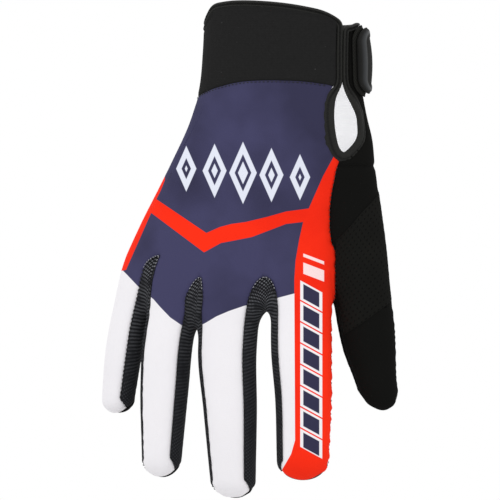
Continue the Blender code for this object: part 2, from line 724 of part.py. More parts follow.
def thumb_grid(face):
    """Outer or inner half of the thumb, from its root to its end."""
    start, web = float(height_of(THUMB_START)), float(height_of(THUMB_WEB))
    shoulder, _ = cap_height(None)
    reach = THUMB_WEB_REACH * GLOVE_LENGTH
    z = np.concatenate([np.linspace(start, web, HAND_ROWS + 1), arch_heights(web, reach, ARCH_ROWS)[1:],
                        np.linspace(web - reach, shoulder, FINGER_ROWS + 1)[1:]])
    level = z > start - 1e-6
    inner = onto_form(thumb_inner_edge(z, face), level)
    ridge_angle = 90.0 + THUMB_SEAMS["ridge"]
    inner_angle = 90.0 + THUMB_SEAMS["inner"] + (0.0 if face == "back" else 360.0)
    ridge = onto_form(thumb_line("ridge", z), level)
    middle = tube_point(None, z, (ridge_angle + inner_angle) / 2)
    shares = np.linspace(0.0, 1.0, CAP_ROWS + 1)[1:]
    caps = [cap_point(None, inner_angle, -65.0, shares),
            cap_point(None, (ridge_angle + inner_angle) / 2, 0.0, shares),
            cap_point(None, ridge_angle, 65.0, shares)]
    inner = np.concatenate([inner, onto_form(caps[0])])
    middle = np.concatenate([middle, caps[1]])
    ridge = np.concatenate([ridge, onto_form(caps[2])])
    level = np.arange(len(inner)) == 0
    grid = sheet(inner, middle, ridge, THUMB_CELLS, level[:, None])
    grid[:, 0], grid[:, -1] = inner, ridge
    return grid


def patch_grid():
    """Reinforcement on the thumb, between two slanted seams."""
    inner_angle, ridge_angle = 90.0 + THUMB_SEAMS["inner"], 90.0 + THUMB_SEAMS["ridge"]
    share = np.linspace(PATCH_ACROSS[0], PATCH_ACROSS[1], PATCH_CELLS + 1)[None, :]
    top = height_of(PATCH_TOP[0] + (PATCH_TOP[1] - PATCH_TOP[0]) * share)
    bottom = height_of(PATCH_BOTTOM[0] + (PATCH_BOTTOM[1] - PATCH_BOTTOM[0]) * share)
    z = top + (bottom - top) * np.linspace(0, 1, 7)[:, None]
    inner, ridge = thumb_inner_edge(z, "back"), thumb_line("ridge", z)
    middle = tube_point(None, z, (ridge_angle + inner_angle) / 2)
    s = share[..., None]
    guess = inner * (1 - s) * (1 - 2 * s) + middle * 4 * s * (1 - s) + ridge * s * (2 * s - 1)
    return onto_form(guess)


def cuff_grid():
    """Neoprene back of the wrist, from the binding to the hand's seam."""
    share = np.linspace(0.0, 1.0, 19)
    depth = np.linspace(0.0, 1.0, 8)[:, None]
    degrees = ULNAR_SEAM + (top_angles("back")[-1] - ULNAR_SEAM) * share
    top = under_binding(degrees)
    z = top + (panel_top("back", degrees) - top) * depth
    edge = slit_edge(z[:, -1], "left")[:, None]
    return onto_form(hand_point(z, ULNAR_SEAM + (edge - ULNAR_SEAM) * share), True)


def grid_faces(rows, columns, start):
    """Quads of a grid whose points start at an index."""
    index = start + np.arange(rows * columns).reshape(rows, columns)
    return np.stack([index[:-1, :-1], index[1:, :-1], index[1:, 1:], index[:-1, 1:]], axis=-1).reshape(-1, 4)


def facing_out(points, faces):
    """The faces, turned to point out of the form."""
    corners = points[faces]
    normal = np.cross(corners[:, 2] - corners[:, 0], corners[:, 3] - corners[:, 1])
    turned = (normal * outward(corners.mean(axis=1))).sum() < 0
    return faces[:, ::-1] if turned else faces


def welded(points, faces):
    """Points within a hundredth of a millimetre made one, and collapsed faces dropped."""
    _, first, index = np.unique(np.round(points / 1e-5).astype(int), axis=0, return_index=True, return_inverse=True)
    return points[first], index.reshape(-1)[faces]


def open_edges(faces):
    """Directed edges that have a face on one side only."""
    ends = np.concatenate([faces[:, [i, (i + 1) % 4]] for i in range(4)])
    ends = ends[ends[:, 0] != ends[:, 1]]
    there = {(a, b) for a, b in ends.tolist()}
    return np.array([(a, b) for a, b in ends.tolist() if (b, a) not in there])


def shell_mesh(grids, wall, lift=0.0, draw=SEAM_GAP / 2):
    """Closed wall under grids on the form: edges drawn back for the seam, then an inner skin."""
    points, faces = [], []
    count = 0
    for grid in grids:
        rows, columns = grid.shape[:2]
        flat = grid.reshape(-1, 3)
        faces.append(facing_out(flat, grid_faces(rows, columns, 0)) + count)
        points.append(flat)
        count += len(flat)
    points, faces = welded(np.concatenate(points), np.concatenate(faces))
    rim = open_edges(faces)
    out = outward(points)
    inward = np.zeros_like(points)
    edge = points[rim[:, 1]] - points[rim[:, 0]]
    edge /= np.linalg.norm(edge, axis=1, keepdims=True)
    push = np.cross(out[rim[:, 0]], edge)
    np.add.at(inward, rim[:, 0], push)
    np.add.at(inward, rim[:, 1], push)
    size = np.linalg.norm(inward, axis=1, keepdims=True)
    points = points + inward / np.maximum(size, 1e-9) * draw
    total = len(points)
    inner = faces[:, ::-1] + total
    sides = np.stack([rim[:, 1], rim[:, 0], rim[:, 0] + total, rim[:, 1] + total], axis=1)
    everything = np.concatenate([points + out * lift, points + out * (lift - wall)])
    return everything, np.concatenate([faces, inner, sides])


def clean_faces(faces):
    """Faces as lists, with a repeated corner dropped."""
    result = []
    for face in faces.tolist():
        corners = [corner for i, corner in enumerate(face) if corner != face[i - 1]]
        if len(corners) > 2:
            result.append(corners)
    return result


def binding_route():
    """Angles and heights of the binding's middle: cuff's edge, slit, keyhole and back."""
    opening_degrees, opening_heights = opening_route(61)
    back = np.linspace(ULNAR_SEAM, SLIT_TOP[0], 41)[:-1]
    palm = np.linspace(SLIT_TOP[1], 360.0 + ULNAR_SEAM, 41)[1:-1]
    degrees = np.concatenate([back, opening_degrees, palm])
    height = np.concatenate([cuff_edge(back), opening_heights, cuff_edge(palm)])
    return degrees, height


def binding_mesh():
    """Rolled edge: an oval carried round the route, wider at the keyhole."""
    degrees, height = binding_route()
    path = onto_form(hand_point(height, degrees))
    closed = np.concatenate([path, path[:1]])
    length = np.concatenate([[0], np.cumsum(np.linalg.norm(np.diff(closed, axis=0), axis=1))])
    at = np.linspace(0, length[-1], BINDING_STEPS + 1)[:-1]
    path = np.stack([np.interp(at, length, closed[:, axis]) for axis in range(3)], axis=-1)
    path = onto_form(path)
    out = outward(path)
    along = np.roll(path, -1, axis=0) - np.roll(path, 1, axis=0)
    side = np.cross(out, along)
    side /= np.linalg.norm(side, axis=1, keepdims=True)
    turn = np.linspace(0, 2 * math.pi, BINDING_SIDES + 1)[:-1]
    half = band_half(path[:, 2])[:, None, None]
    middle = path - out * CUFF_WALL / 2
    ring = (middle[:, None] + side[:, None] * half * np.cos(turn)[:, None]
            + out[:, None] * BINDING_DEPTH / 2 * np.sin(turn)[:, None])
    steps, sides = np.arange(BINDING_STEPS), np.arange(BINDING_SIDES)
    a, b = np.meshgrid(steps, sides, indexing="ij")
    a2, b2 = (a + 1) % BINDING_STEPS, (b + 1) % BINDING_SIDES
    faces = np.stack([a * BINDING_SIDES + b, a * BINDING_SIDES + b2, a2 * BINDING_SIDES + b2,
                      a2 * BINDING_SIDES + b], axis=-1).reshape(-1, 4)
    return ring.reshape(-1, 3), faces


def strap_grid(margin, cells):
    """Points of the strap on the form, inside its outline by a margin, and their place in it."""
    u = np.linspace(-1.0, 1.0, cells[0] + 1)[:, None]
    v = np.linspace(-1.0, 1.0, cells[1] + 1)[None, :]
    high, long = STRAP_WIDTH / 2 - margin, STRAP_LENGTH / 2 - margin
    corner = PLATE_CORNER
    flat_high, flat_long = high * u, long * v
    over_high = np.maximum(0.0, np.abs(flat_high) - (high - corner))
    reach = np.sqrt(np.maximum(0.0, corner**2 - np.minimum(over_high, corner)**2)) - corner
    along = flat_long * (1 + reach / long)
    z = STRAP_MIDDLE * CUFF_HEIGHT + flat_high * (1 - STRAP_TAPER * np.sin(math.pi / 4 * (v + 1)))
    rate = arc_rate(np.array([STRAP_MIDDLE * CUFF_HEIGHT]), np.array([STRAP_START + 25.0]))[0]
    degrees = STRAP_START + (along + long + margin) / rate
    return onto_form(hand_point(z, degrees)), u + 0 * v, v + 0 * u


def strap_mesh(margin, cells, low, high):
    """Closed wall of the strap between two heights over the form."""
    grid, u, v = strap_grid(margin, cells)
    rows, columns = grid.shape[:2]
    points = grid.reshape(-1, 3)
    out = outward(points)
    faces = facing_out(points, grid_faces(rows, columns, 0))
    rim = open_edges(faces)
    total = len(points)
    crown = (1 - u.reshape(-1, 1)**2)
    top = points + out * (high[0] + (high[1] - high[0]) * crown)
    bottom = points + out * (low[0] + (low[1] - low[0]) * crown)
    sides = np.stack([rim[:, 1], rim[:, 0], rim[:, 0] + total, rim[:, 1] + total], axis=1)
    return np.concatenate([top, bottom]), np.concatenate([faces, faces[:, ::-1] + total, sides])


def clear_scene():
    """Remove what a new Blender file holds."""
    for item in list(bpy.data.objects):
        bpy.data.objects.remove(item)


def finish(name, colour, roughness, metallic=0.0):
    """Principled material of one piece."""
    material = bpy.data.materials.new(name)
    material.use_nodes = True
    shader = material.node_tree.nodes["Principled BSDF"]
    shader.inputs["Base Color"].default_value = colour + (1.0,)
    shader.inputs["Roughness"].default_value = roughness
    shader.inputs["Metallic"].default_value = metallic
    return material


def add_piece(collection, name, mesh_data, material):
    """One named object from points and faces."""
    points, faces = mesh_data
    mesh = bpy.data.meshes.new(name)
    mesh.from_pydata(points.tolist(), [], clean_faces(faces))
    mesh.materials.append(material)
    mesh.shade_smooth()
    mesh.set_sharp_from_angle(angle=math.radians(40))
    piece = bpy.data.objects.new(name, mesh)
    collection.objects.link(piece)
    return piece


def build_glove():
    """All the pieces of the glove, in one collection."""
    clear_scene()
    glove = bpy.data.collections.new("riding_glove")
    bpy.context.scene.collection.children.link(glove)
    printed = finish("printed_fabric", (0.052, 0.048, 0.095), 0.75)
    mesh_cloth = finish("black_mesh", (0.02, 0.02, 0.022), 0.8)
    suede = finish("black_suede", (0.010, 0.010, 0.009), 0.9)
    neoprene = finish("neoprene", (0.016, 0.016, 0.016), 0.85)
    rolled = finish("binding_cloth", (0.02, 0.02, 0.017), 0.7)
    webbing = finish("strap_webbing", (0.014, 0.014, 0.014), 0.8)
    rubber = finish("moulded_rubber", (0.014, 0.014, 0.013), 0.45)

    add_piece(glove, "back_panel", shell_mesh([column_grid(n, "back") for n in range(4)], SHELL_WALL), printed)
    for web, name in enumerate(("fourchette_little_ring", "fourchette_ring_middle", "fourchette_middle_index")):
        add_piece(glove, name, shell_mesh([fourchette_grid(web)], MESH_WALL), mesh_cloth)
    palm = [column_grid(n, "palm") for n in range(4)] + [heel_grid()]
    add_piece(glove, "palm", shell_mesh(palm, PALM_WALL), suede)
    add_piece(glove, "thumb_back", shell_mesh([thumb_grid("back")], PALM_WALL, draw=1.8 * SEAM_GAP), suede)
    add_piece(glove, "thumb_palm", shell_mesh([thumb_grid("palm")], PALM_WALL, draw=1.8 * SEAM_GAP), suede)
    add_piece(glove, "thumb_patch", shell_mesh([patch_grid()], PATCH_WALL, PATCH_WALL + 2 * SEAM_GAP), suede)
    add_piece(glove, "cuff", shell_mesh([cuff_grid()], CUFF_WALL), neoprene)
    add_piece(glove, "cuff_binding", binding_mesh(), rolled)
    band_top = STRAP_LIFT + STRAP_WALL
    add_piece(glove, "strap_band", strap_mesh(0.0, (8, 12), (STRAP_LIFT, STRAP_LIFT), (band_top, band_top)), webbing)
    plate_low = band_top + 3 * SEAM_GAP
    add_piece(glove, "strap_plate", strap_mesh(PLATE_MARGIN, (8, 12), (plate_low, plate_low),
              (plate_low + PLATE_WALL, plate_low + PLATE_WALL + PLATE_CROWN)), rubber)


build_glove()
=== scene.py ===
"""Riding glove: its looks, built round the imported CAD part.

Every panel is a grid that is projected on one smooth hand form, the same form as
the CAD solids have, with finer cells, seam dips and puckers. The print on the back
is worked out in the shader from Object coordinates, as a flat print seen square on.
"""
import math

import bpy
import numpy as np
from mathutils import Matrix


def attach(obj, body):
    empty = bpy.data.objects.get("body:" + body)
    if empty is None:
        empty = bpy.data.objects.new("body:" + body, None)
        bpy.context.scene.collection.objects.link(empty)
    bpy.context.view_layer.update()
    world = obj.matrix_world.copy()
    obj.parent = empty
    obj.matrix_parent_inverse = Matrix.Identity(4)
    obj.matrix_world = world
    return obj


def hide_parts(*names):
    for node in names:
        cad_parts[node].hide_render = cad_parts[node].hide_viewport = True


bl_info = {
    "name": "Riding Glove",
    "version": (1, 0, 0),
    "blender": (4, 5, 0),
    "location": "View3D > Sidebar > Riding Glove",
    "description": "Builds a printed riding glove with its seams, binding, strap and studio",
    "category": "Add Mesh",
}

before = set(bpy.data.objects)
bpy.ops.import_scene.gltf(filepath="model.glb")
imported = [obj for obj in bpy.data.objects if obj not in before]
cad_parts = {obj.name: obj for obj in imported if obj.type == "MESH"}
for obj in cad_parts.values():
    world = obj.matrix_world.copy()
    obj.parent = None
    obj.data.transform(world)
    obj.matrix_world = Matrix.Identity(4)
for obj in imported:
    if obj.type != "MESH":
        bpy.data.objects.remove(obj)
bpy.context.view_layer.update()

# Driving sizes, in metres.
GLOVE_LENGTH = 0.2435
HAND_WIDTH = 0.100
HAND_DEPTH = 0.044
FINGER_WIDTH = 0.031
FINGER_DEPTH = 0.021
THUMB_WIDTH = 0.031
THUMB_DEPTH = 0.027
CUFF_HEIGHT = 0.040
CUFF_RISE = 0.005
SHELL_WALL = 0.0012
MESH_WALL = 0.0010
PALM_WALL = 0.0014
CUFF_WALL = 0.0026
PATCH_WALL = 0.0009
SEAM_GAP = 0.0003
BINDING_WIDTH = 0.0031
BINDING_DEPTH = 0.0030
KEYHOLE_BAND = 0.0070
KEYHOLE_HEIGHT = 0.036
# Clearances beside the binding: where one is negative, the panels run in under it.
KEYHOLE_CLEAR = -0.0020
EDGE_CLEAR = -0.0011
CORNER_CLEAR = 0.0006
STRAP_TAPER = 0.48
STRAP_WIDTH = 0.036
STRAP_LENGTH = 0.044
STRAP_WALL = 0.0011
PLATE_WALL = 0.0015
PLATE_MARGIN = 0.0012
PLATE_CORNER = 0.008

# Where the fingers and the thumb begin to fade into the hand, and over what length.
FINGER_ROOT = 0.53
THUMB_ROOT = 0.27
ROOT_REACH = 0.13

# Fillets of the form: between neighbouring fingers, at the knuckles, at the thumb.
FINGER_FILLET = 0.0014
KNUCKLE_FILLET = 0.005
THUMB_FILLET = 0.004

# The hand from the cuff's edge to the webs. Level is a share of GLOVE_LENGTH below
# the origin, centre and half_width are shares of HAND_WIDTH, half_depth of
# HAND_DEPTH, arch is the sag of the sides, and power squares the section.
# Columns: level, centre, half_width, half_depth, arch, power.
HAND = (
    (-0.04, -0.027, 0.410, 0.500, 0.000, 2.0),
    (0.078, -0.030, 0.415, 0.500, 0.000, 2.0),
    (0.160, -0.036, 0.430, 0.480, 0.000, 2.1),
    (0.222, -0.050, 0.462, 0.450, 0.020, 2.2),
    (0.304, -0.145, 0.468, 0.415, 0.070, 2.4),
    (0.386, -0.235, 0.490, 0.385, 0.130, 2.5),
    (0.468, -0.300, 0.522, 0.355, 0.190, 2.5),
    (0.550, -0.360, 0.556, 0.310, 0.235, 2.5),
    (0.632, -0.390, 0.575, 0.262, 0.255, 2.5),
)

# Each finger: levels as shares of GLOVE_LENGTH, places as shares of HAND_WIDTH,
# half_width of FINGER_WIDTH and half_depth of FINGER_DEPTH. Turn and seams are in
# degrees about the finger. Columns of line: level, x, y, half_width, half_depth.
FINGERS = (
    {
        "name": "little", "turn": -26.0, "tip": 0.8270, "cap": 0.030,
        "seams": (-100.0, 46.0), "tip_seams": (-75.0, 50.0),
        "line": (
            (0.499, -0.766, 0.055, 0.360, 0.400),
            (0.571, -0.838, 0.070, 0.358, 0.400),
            (0.632, -0.885, 0.080, 0.355, 0.390),
            (0.715, -0.926, 0.092, 0.350, 0.380),
            (0.776, -0.952, 0.110, 0.318, 0.360),
        ),
    },
    {
        "name": "ring", "turn": -5.0, "tip": 0.9585, "cap": 0.041,
        "seams": (-50.0, 48.0), "tip_seams": (-50.0, 50.0),
        "line": (
            (0.530, -0.548, 0.015, 0.432, 0.476),
            (0.591, -0.604, 0.020, 0.432, 0.476),
            (0.674, -0.650, 0.020, 0.432, 0.466),
            (0.776, -0.675, 0.030, 0.412, 0.448),
            (0.899, -0.700, 0.060, 0.345, 0.419),
        ),
    },
    {
        "name": "middle", "turn": -2.0, "tip": 1.0000, "cap": 0.039,
        "seams": (-50.0, 48.0), "tip_seams": (-50.0, 50.0),
        "line": (
            (0.550, -0.275, 0.000, 0.498, 0.505),
            (0.612, -0.302, 0.000, 0.498, 0.500),
            (0.694, -0.322, 0.000, 0.500, 0.478),
            (0.817, -0.311, 0.010, 0.455, 0.457),
            (0.940, -0.314, 0.050, 0.394, 0.429),
        ),
    },
    {
        "name": "index", "turn": 19.0, "tip": 0.9625, "cap": 0.042,
        "seams": (-51.0, 100.0), "tip_seams": (-50.0, 75.0),
        "line": (
            (0.550, 0.069, 0.030, 0.484, 0.505),
            (0.612, 0.066, 0.030, 0.490, 0.500),
            (0.694, 0.066, 0.030, 0.492, 0.478),
            (0.797, 0.075, 0.035, 0.458, 0.457),
            (0.910, 0.062, 0.060, 0.426, 0.429),
        ),
    },
)

# Webs, from the little finger's to the index finger's: the top of the mesh arch on
# the back, the web's crown, the arch's top on the palm and where the hand rounds
# off, as shares of GLOVE_LENGTH, and the back arch's lean in shares of HAND_WIDTH.
WEBS = (
    {"back": 0.500, "mid": 0.6275, "palm": 0.600, "depth": 0.625, "lean": 0.028},
    {"back": 0.545, "mid": 0.6523, "palm": 0.618, "depth": 0.640, "lean": 0.018},
    {"back": 0.544, "mid": 0.6143, "palm": 0.598, "depth": 0.620, "lean": 0.014},
)
# Angles round the wrist at which the columns of the back and the palm begin.
BACK_TOP_ANGLES = (-100.0, -45.0, -5.0, 30.0)
PALM_TOP_ANGLES = (260.0, 228.0, 198.0, 170.0, 146.0)
# How far each arch takes to open to its full width, as a share of GLOVE_LENGTH.
ARCH_REACH = {"back": 0.052, "mid": 0.024, "palm": 0.034}

# Seams of the mesh on each finger, in degrees from its back.
FACE_ANGLES = {"mid": 90.0, "palm": 130.0}

# The thumb: places as shares of HAND_WIDTH, half_width of THUMB_WIDTH and
# half_depth of THUMB_DEPTH.
THUMB_TURN = 22.0
THUMB_TIP = 0.8195
THUMB_CAP = 0.058
THUMB_SEAMS = {"inner": -164.0, "ridge": 5.0}
# Columns: level, x, y, half_width, half_depth.
THUMB = (
    (0.200, 0.255, 0.045, 0.400, 0.400),
    (0.250, 0.282, 0.058, 0.440, 0.430),
    (0.324, 0.283, 0.085, 0.475, 0.470),
    (0.407, 0.297, 0.130, 0.475, 0.500),
    (0.489, 0.312, 0.170, 0.468, 0.490),
    (0.571, 0.317, 0.210, 0.468, 0.480),
    (0.653, 0.334, 0.240, 0.458, 0.460),
    (0.694, 0.345, 0.250, 0.428, 0.430),
    (0.756, 0.372, 0.265, 0.345, 0.370),
    (0.819, 0.408, 0.272, 0.290, 0.320),
)
THUMB_START = 0.316
THUMB_WEB = 0.6065
THUMB_WEB_REACH = 0.040
# The palm's seam round the thumb's base, in degrees round the hand at each level.
THUMB_BASE_SEAM = ((0.316, 146.0), (0.45, 152.0), (0.53, 146.0))

# The cuff's upper edge round the wrist: degrees from the back towards the thumb,
# and the height over the origin as a share of CUFF_RISE.
CUFF_EDGE = (
    (-100.0, -1.0), (-76.0, -0.9), (-62.0, -0.1), (-52.0, 0.7), (-38.0, 1.0), (0.0, 1.0),
    (30.0, 0.45), (45.0, 0.0), (56.0, -0.6), (69.0, -1.4), (90.0, -1.15), (130.0, -1.3), (190.0, -1.3),
    (260.0, -1.0),
)
# The seam between the cuff and the hand's back, as a share of CUFF_HEIGHT.
CUFF_SEAM = ((-100.0, 1.08), (-60.0, 1.0), (-15.0, 0.86), (20.0, 0.855), (60.0, 0.93))
# The slit's two sides at the cuff's edge, in degrees round the hand.
SLIT_TOP = (61.0, 68.5)
# The route of the keyhole band's middle, from the slit round and back to it:
# degrees round the hand, and the share of KEYHOLE_HEIGHT below its head.
KEYHOLE_HEAD = 0.152
KEYHOLE = (
    (58.5, 0.00), (51.0, 0.10), (46.0, 0.25), (44.0, 0.42), (46.0, 0.58), (51.5, 0.74), (60.0, 0.89),
    (68.5, 0.975), (77.0, 1.00), (84.5, 0.975), (90.0, 0.88), (92.5, 0.74), (90.0, 0.58), (85.0, 0.42),
    (78.5, 0.26), (72.0, 0.12), (65.5, 0.00),
)
# The seam along the little finger's side, in degrees round the hand.
ULNAR_SEAM = -100.0
# The thumb's patch: levels of its two slanted ends at either side, and its place across.
PATCH_TOP = (0.478, 0.362)
PATCH_BOTTOM = (0.668, 0.585)
PATCH_ACROSS = (0.08, 0.93)
# The strap: its start in degrees round the hand, its middle as a share of CUFF_HEIGHT,
# its clearance over the cuff and the crown of its face.
STRAP_START = 74.0
STRAP_MIDDLE = -0.62
STRAP_LIFT = 0.0009
PLATE_CROWN = 0.0015
# The seam between the back and the thumb: level, and degrees round the hand.
THUMB_SIDE_SEAM = ((0.316, 72.0), (0.40, 78.0), (0.50, 88.0))
# How far the hand's back runs in under the cuff.
SEAM_TUCK = 0.0008
# The binding's stitched channel: its place from the middle along the slit and what is added
# round the keyhole, as shares of the half width, then its width and depth in metres.
CHANNEL_PLACE = 0.05
CHANNEL_SHIFT = 0.18
CHANNEL_WIDTH = 0.00045
CHANNEL_DEPTH = 0.0010
# The strap's raised border: its place in from the edge, its width and its height.
BORDER_PLACE = 0.0020
BORDER_WIDTH = 0.0012
BORDER_RISE = 0.0005

# Mesh density: cells along and across each panel, and steps that bring it onto the form.
COLUMN_CELLS = 22
WRIST_ROWS = 26
HAND_ROWS = 26
HEEL_CELLS = 26
THUMB_CELLS = 30
PATCH_CELLS = 60
ARCH_ROWS = 14
FINGER_ROWS = 36
CAP_ROWS = 12
WEB_CELLS = 24
PATCH_ROWS = 40
CUFF_CELLS = (110, 30)
BINDING_CELLS = (900, 48)
STRAP_CELLS = (70, 84)
PROJECTION_ROUNDS = 9
# Rounds that soften the back's rows, the binding's path and the opening's route.
SOFTENING_ROUNDS = 8
PATH_ROUNDS = 30
OPENING_ROUNDS = 3


def smooth_row(table, level):
    """Hermite curve through a table's rows, with the chord of its neighbours as slope."""
    rows = np.array(table, float)
    at = rows[:, 0]
    slopes = np.gradient(rows, at, axis=0)
    level = np.clip(np.asarray(level, float), at[0] - 0.25, at[-1] + 0.25)
    low = np.clip(np.searchsorted(at, level) - 1, 0, len(at) - 2)
    step = at[low + 1] - at[low]
    share = (level - at[low]) / step
    inside = np.clip(share, 0.0, 1.0)
    t, span = inside[..., None], step[..., None]
    value = ((2 * t**3 - 3 * t**2 + 1) * rows[low] + (t**3 - 2 * t**2 + t) * span * slopes[low]
             + (3 * t**2 - 2 * t**3) * rows[low + 1] + (t**3 - t**2) * span * slopes[low + 1])
    edge = np.where((share > 1.0)[..., None], slopes[low + 1], slopes[low])
    value = value + edge * ((share - inside) * step)[..., None]
    return [value[..., column] for column in range(1, rows.shape[1])]


def straight_row(table, level):
    """Straight lines through a table's pairs."""
    at, values = zip(*table)
    return np.interp(level, at, values)


def between(first, last, share):
    """Points a share of the way from the first ones to the last."""
    return first * (1 - share) + last * share


def averaged(rows, rounds):
    """Rows averaged with their neighbours a few times, (a + 2b + c) / 4, with both ends held."""
    for _ in range(rounds):
        rows[1:-1] = (rows[:-2] + 2 * rows[1:-1] + rows[2:]) / 4
    return rows


def level_of(z):
    """Share of the glove's length below the origin."""
    return -z / GLOVE_LENGTH


def height_of(level):
    """Height of a level."""
    return -np.asarray(level, float) * GLOVE_LENGTH


def hand_section(z):
    """Centre, half width, half depth, arch and power of the hand at a height."""
    centre, half_width, half_depth, arch, power = smooth_row(HAND, level_of(z))
    return centre * HAND_WIDTH, half_width * HAND_WIDTH, half_depth * HAND_DEPTH, arch / HAND_WIDTH, power


def web_depths(x):
    """Knuckle height and the reach below it, to the web, at a place across the hand."""
    backs = [web["back"] for web in WEBS]
    depths = [web["depth"] for web in WEBS]
    places = np.array([-0.75, -0.48, -0.11]) * HAND_WIDTH
    knuckle = height_of(np.interp(x, places, backs))
    web = height_of(np.interp(x, places, depths))
    return knuckle, knuckle - web


def hand_form(p):
    """Distance-like value of the palm: an arched oval that rounds off at the webs."""
    centre, half_width, half_depth, arch, power = hand_section(p[..., 2])
    across = p[..., 0] - centre
    out = p[..., 1] - arch * across**2
    knuckle, reach = web_depths(p[..., 0])
    below = np.maximum(0.0, knuckle - p[..., 2]) / reach
    flat = (np.abs(across / half_width)**power + np.abs(out / half_depth)**power)**(1 / power)
    return (np.sqrt(flat**2 + below**2) - 1.0) * half_depth


def tube_frame(turn):
    """Sideways and outward directions of a finger that is turned about +Z."""
    angle = math.radians(turn)
    side = np.array([math.cos(angle), math.sin(angle), 0.0])
    out = np.array([math.sin(angle), -math.cos(angle), 0.0])
    return side, out


def cap_height(part):
    """Height at which a finger's rounded end begins, and the end's length."""
    if part is None:
        return float(height_of(THUMB_TIP - THUMB_CAP)), THUMB_CAP * GLOVE_LENGTH
    return float(height_of(part["tip"] - part["cap"])), part["cap"] * GLOVE_LENGTH


def section_of(part, z):
    """Centre point, half width and half depth of a finger, or of the thumb where part is None."""
    line, width, depth = THUMB, THUMB_WIDTH, THUMB_DEPTH
    if part is not None:
        line, width, depth = part["line"], FINGER_WIDTH, FINGER_DEPTH
    x, y, half_width, half_depth = smooth_row(line, level_of(z))
    centre = np.stack([x * HAND_WIDTH, y * HAND_WIDTH, np.asarray(z, float) + 0 * x], axis=-1)
    return centre, half_width * width, half_depth * depth


def turn_of(part):
    """Turn of a finger or the thumb about +Z."""
    return THUMB_TURN if part is None else part["turn"]


def tube_form(part, p):
    """Distance-like value of one finger: an oval tube with a half-ellipsoid end."""
    side, out = tube_frame(turn_of(part))
    shoulder, reach = cap_height(part)
    centre, _, _ = section_of(part, p[..., 2])
    _, half_width, half_depth = section_of(part, np.maximum(p[..., 2], shoulder))
    away = p - centre
    below = np.maximum(0.0, shoulder - p[..., 2]) / reach
    root = height_of(THUMB_ROOT if part is None else FINGER_ROOT)
    above = np.maximum(0.0, p[..., 2] - root) / (ROOT_REACH * GLOVE_LENGTH)
    length = np.sqrt((away @ side / half_width)**2 + (away @ out / half_depth)**2 + below**2 + above**2)
    return (length - 1.0) * half_depth


def blend_min(a, b, fillet):
    """Smooth minimum of two forms, with a fillet of the given size."""
    mix = np.clip(0.5 + 0.5 * (b - a) / fillet, 0.0, 1.0)
    return b + (a - b) * mix - fillet * mix * (1.0 - mix)


def glove_form(p):
    """The whole outer form: zero on the glove's outside, negative within."""
    fingers = tube_form(FINGERS[0], p)
    for finger in FINGERS[1:]:
        fingers = blend_min(fingers, tube_form(finger, p), FINGER_FILLET)
    body = blend_min(hand_form(p), fingers, KNUCKLE_FILLET)
    return blend_min(body, tube_form(None, p), THUMB_FILLET)


def slope(p):
    """Gradient of the form by central differences."""
    step = 2e-5
    parts = []
    for axis in range(3):
        move = np.zeros(3)
        move[axis] = step
        parts.append((glove_form(p + move) - glove_form(p - move)) / (2 * step))
    return np.stack(parts, axis=-1)


def outward(p):
    """Unit outward direction of the form."""
    direction = slope(p)
    return direction / np.linalg.norm(direction, axis=-1, keepdims=True)


def onto_form(p, level=False):
    """Newton steps along the slope that bring points onto the outside, sideways only where level."""
    p = np.array(p, float)
    for _ in range(PROJECTION_ROUNDS):
        direction = slope(p)
        direction[..., 2] = np.where(level, 0.0, direction[..., 2])
        size = np.maximum((direction**2).sum(-1, keepdims=True), 1e-3)
        move = glove_form(p)[..., None] * direction / size
        length = np.linalg.norm(move, axis=-1, keepdims=True)
        p = p - move * np.minimum(1.0, 0.004 / np.maximum(length, 1e-9))
    return p


def hand_point(z, degrees):
    """Point of the bare palm section at an angle from the back towards the thumb."""
    centre, half_width, half_depth, arch, power = hand_section(z)
    angle = np.radians(degrees)
    sine, cosine = np.sin(angle), np.cos(angle)
    across = half_width * np.sign(sine) * np.abs(sine)**(2 / power)
    out = -half_depth * np.sign(cosine) * np.abs(cosine)**(2 / power)
    return np.stack([centre + across, out + arch * across**2, z + 0 * across], axis=-1)


def hand_face(x, z, face):
    """Point of the bare palm section on the back (-1) or palm (+1) side at x."""
    centre, half_width, half_depth, arch, power = hand_section(z)
    across = x - centre
    knuckle, reach = web_depths(x)
    below = np.clip((knuckle - z) / reach, 0.0, 0.97)
    rest = np.maximum(1e-3, 1.0 - np.abs(across / half_width)**power)**(1 / power)
    y = arch * across**2 + face * half_depth * rest * np.sqrt(1.0 - below**2)
    return np.stack([x + 0 * z, y, z + 0 * x], axis=-1)


def tube_point(part, z, degrees):
    """Point of a finger at an angle from its back towards the thumb side."""
    side, out = tube_frame(turn_of(part))
    centre, half_width, half_depth = section_of(part, z)
    angle = np.radians(degrees)
    return (centre + np.multiply(half_width, np.sin(angle))[..., None] * side
            + np.multiply(half_depth, np.cos(angle))[..., None] * out)


def cap_point(part, degrees, end_degrees, share):
    """Point on a finger's rounded end, from its shoulder (0) to the end seam (1)."""
    side, out = tube_frame(turn_of(part))
    shoulder, reach = cap_height(part)
    share = np.asarray(share, float)[..., None]
    start, end = math.radians(degrees), math.radians(end_degrees)
    first = np.array([math.sin(start), math.cos(start), 0.0])
    last = np.array([math.sin(end), 0.0, math.cos(end)])
    unit = (1 - share) * first + share * last
    unit = unit / np.linalg.norm(unit, axis=-1, keepdims=True)
    z = shoulder - reach * unit[..., 2]
    centre, _, _ = section_of(part, z)
    _, half_width, half_depth = section_of(part, np.full_like(z, shoulder))
    across, away = (half_width * unit[..., 0])[..., None], (half_depth * unit[..., 1])[..., None]
    return centre + across * side + away * out


def ease(value, start, end):
    """Smooth step from 0 at start to 1 at end."""
    share = np.clip((value - start) / (end - start), 0.0, 1.0)
    return share * share * (3 - 2 * share)


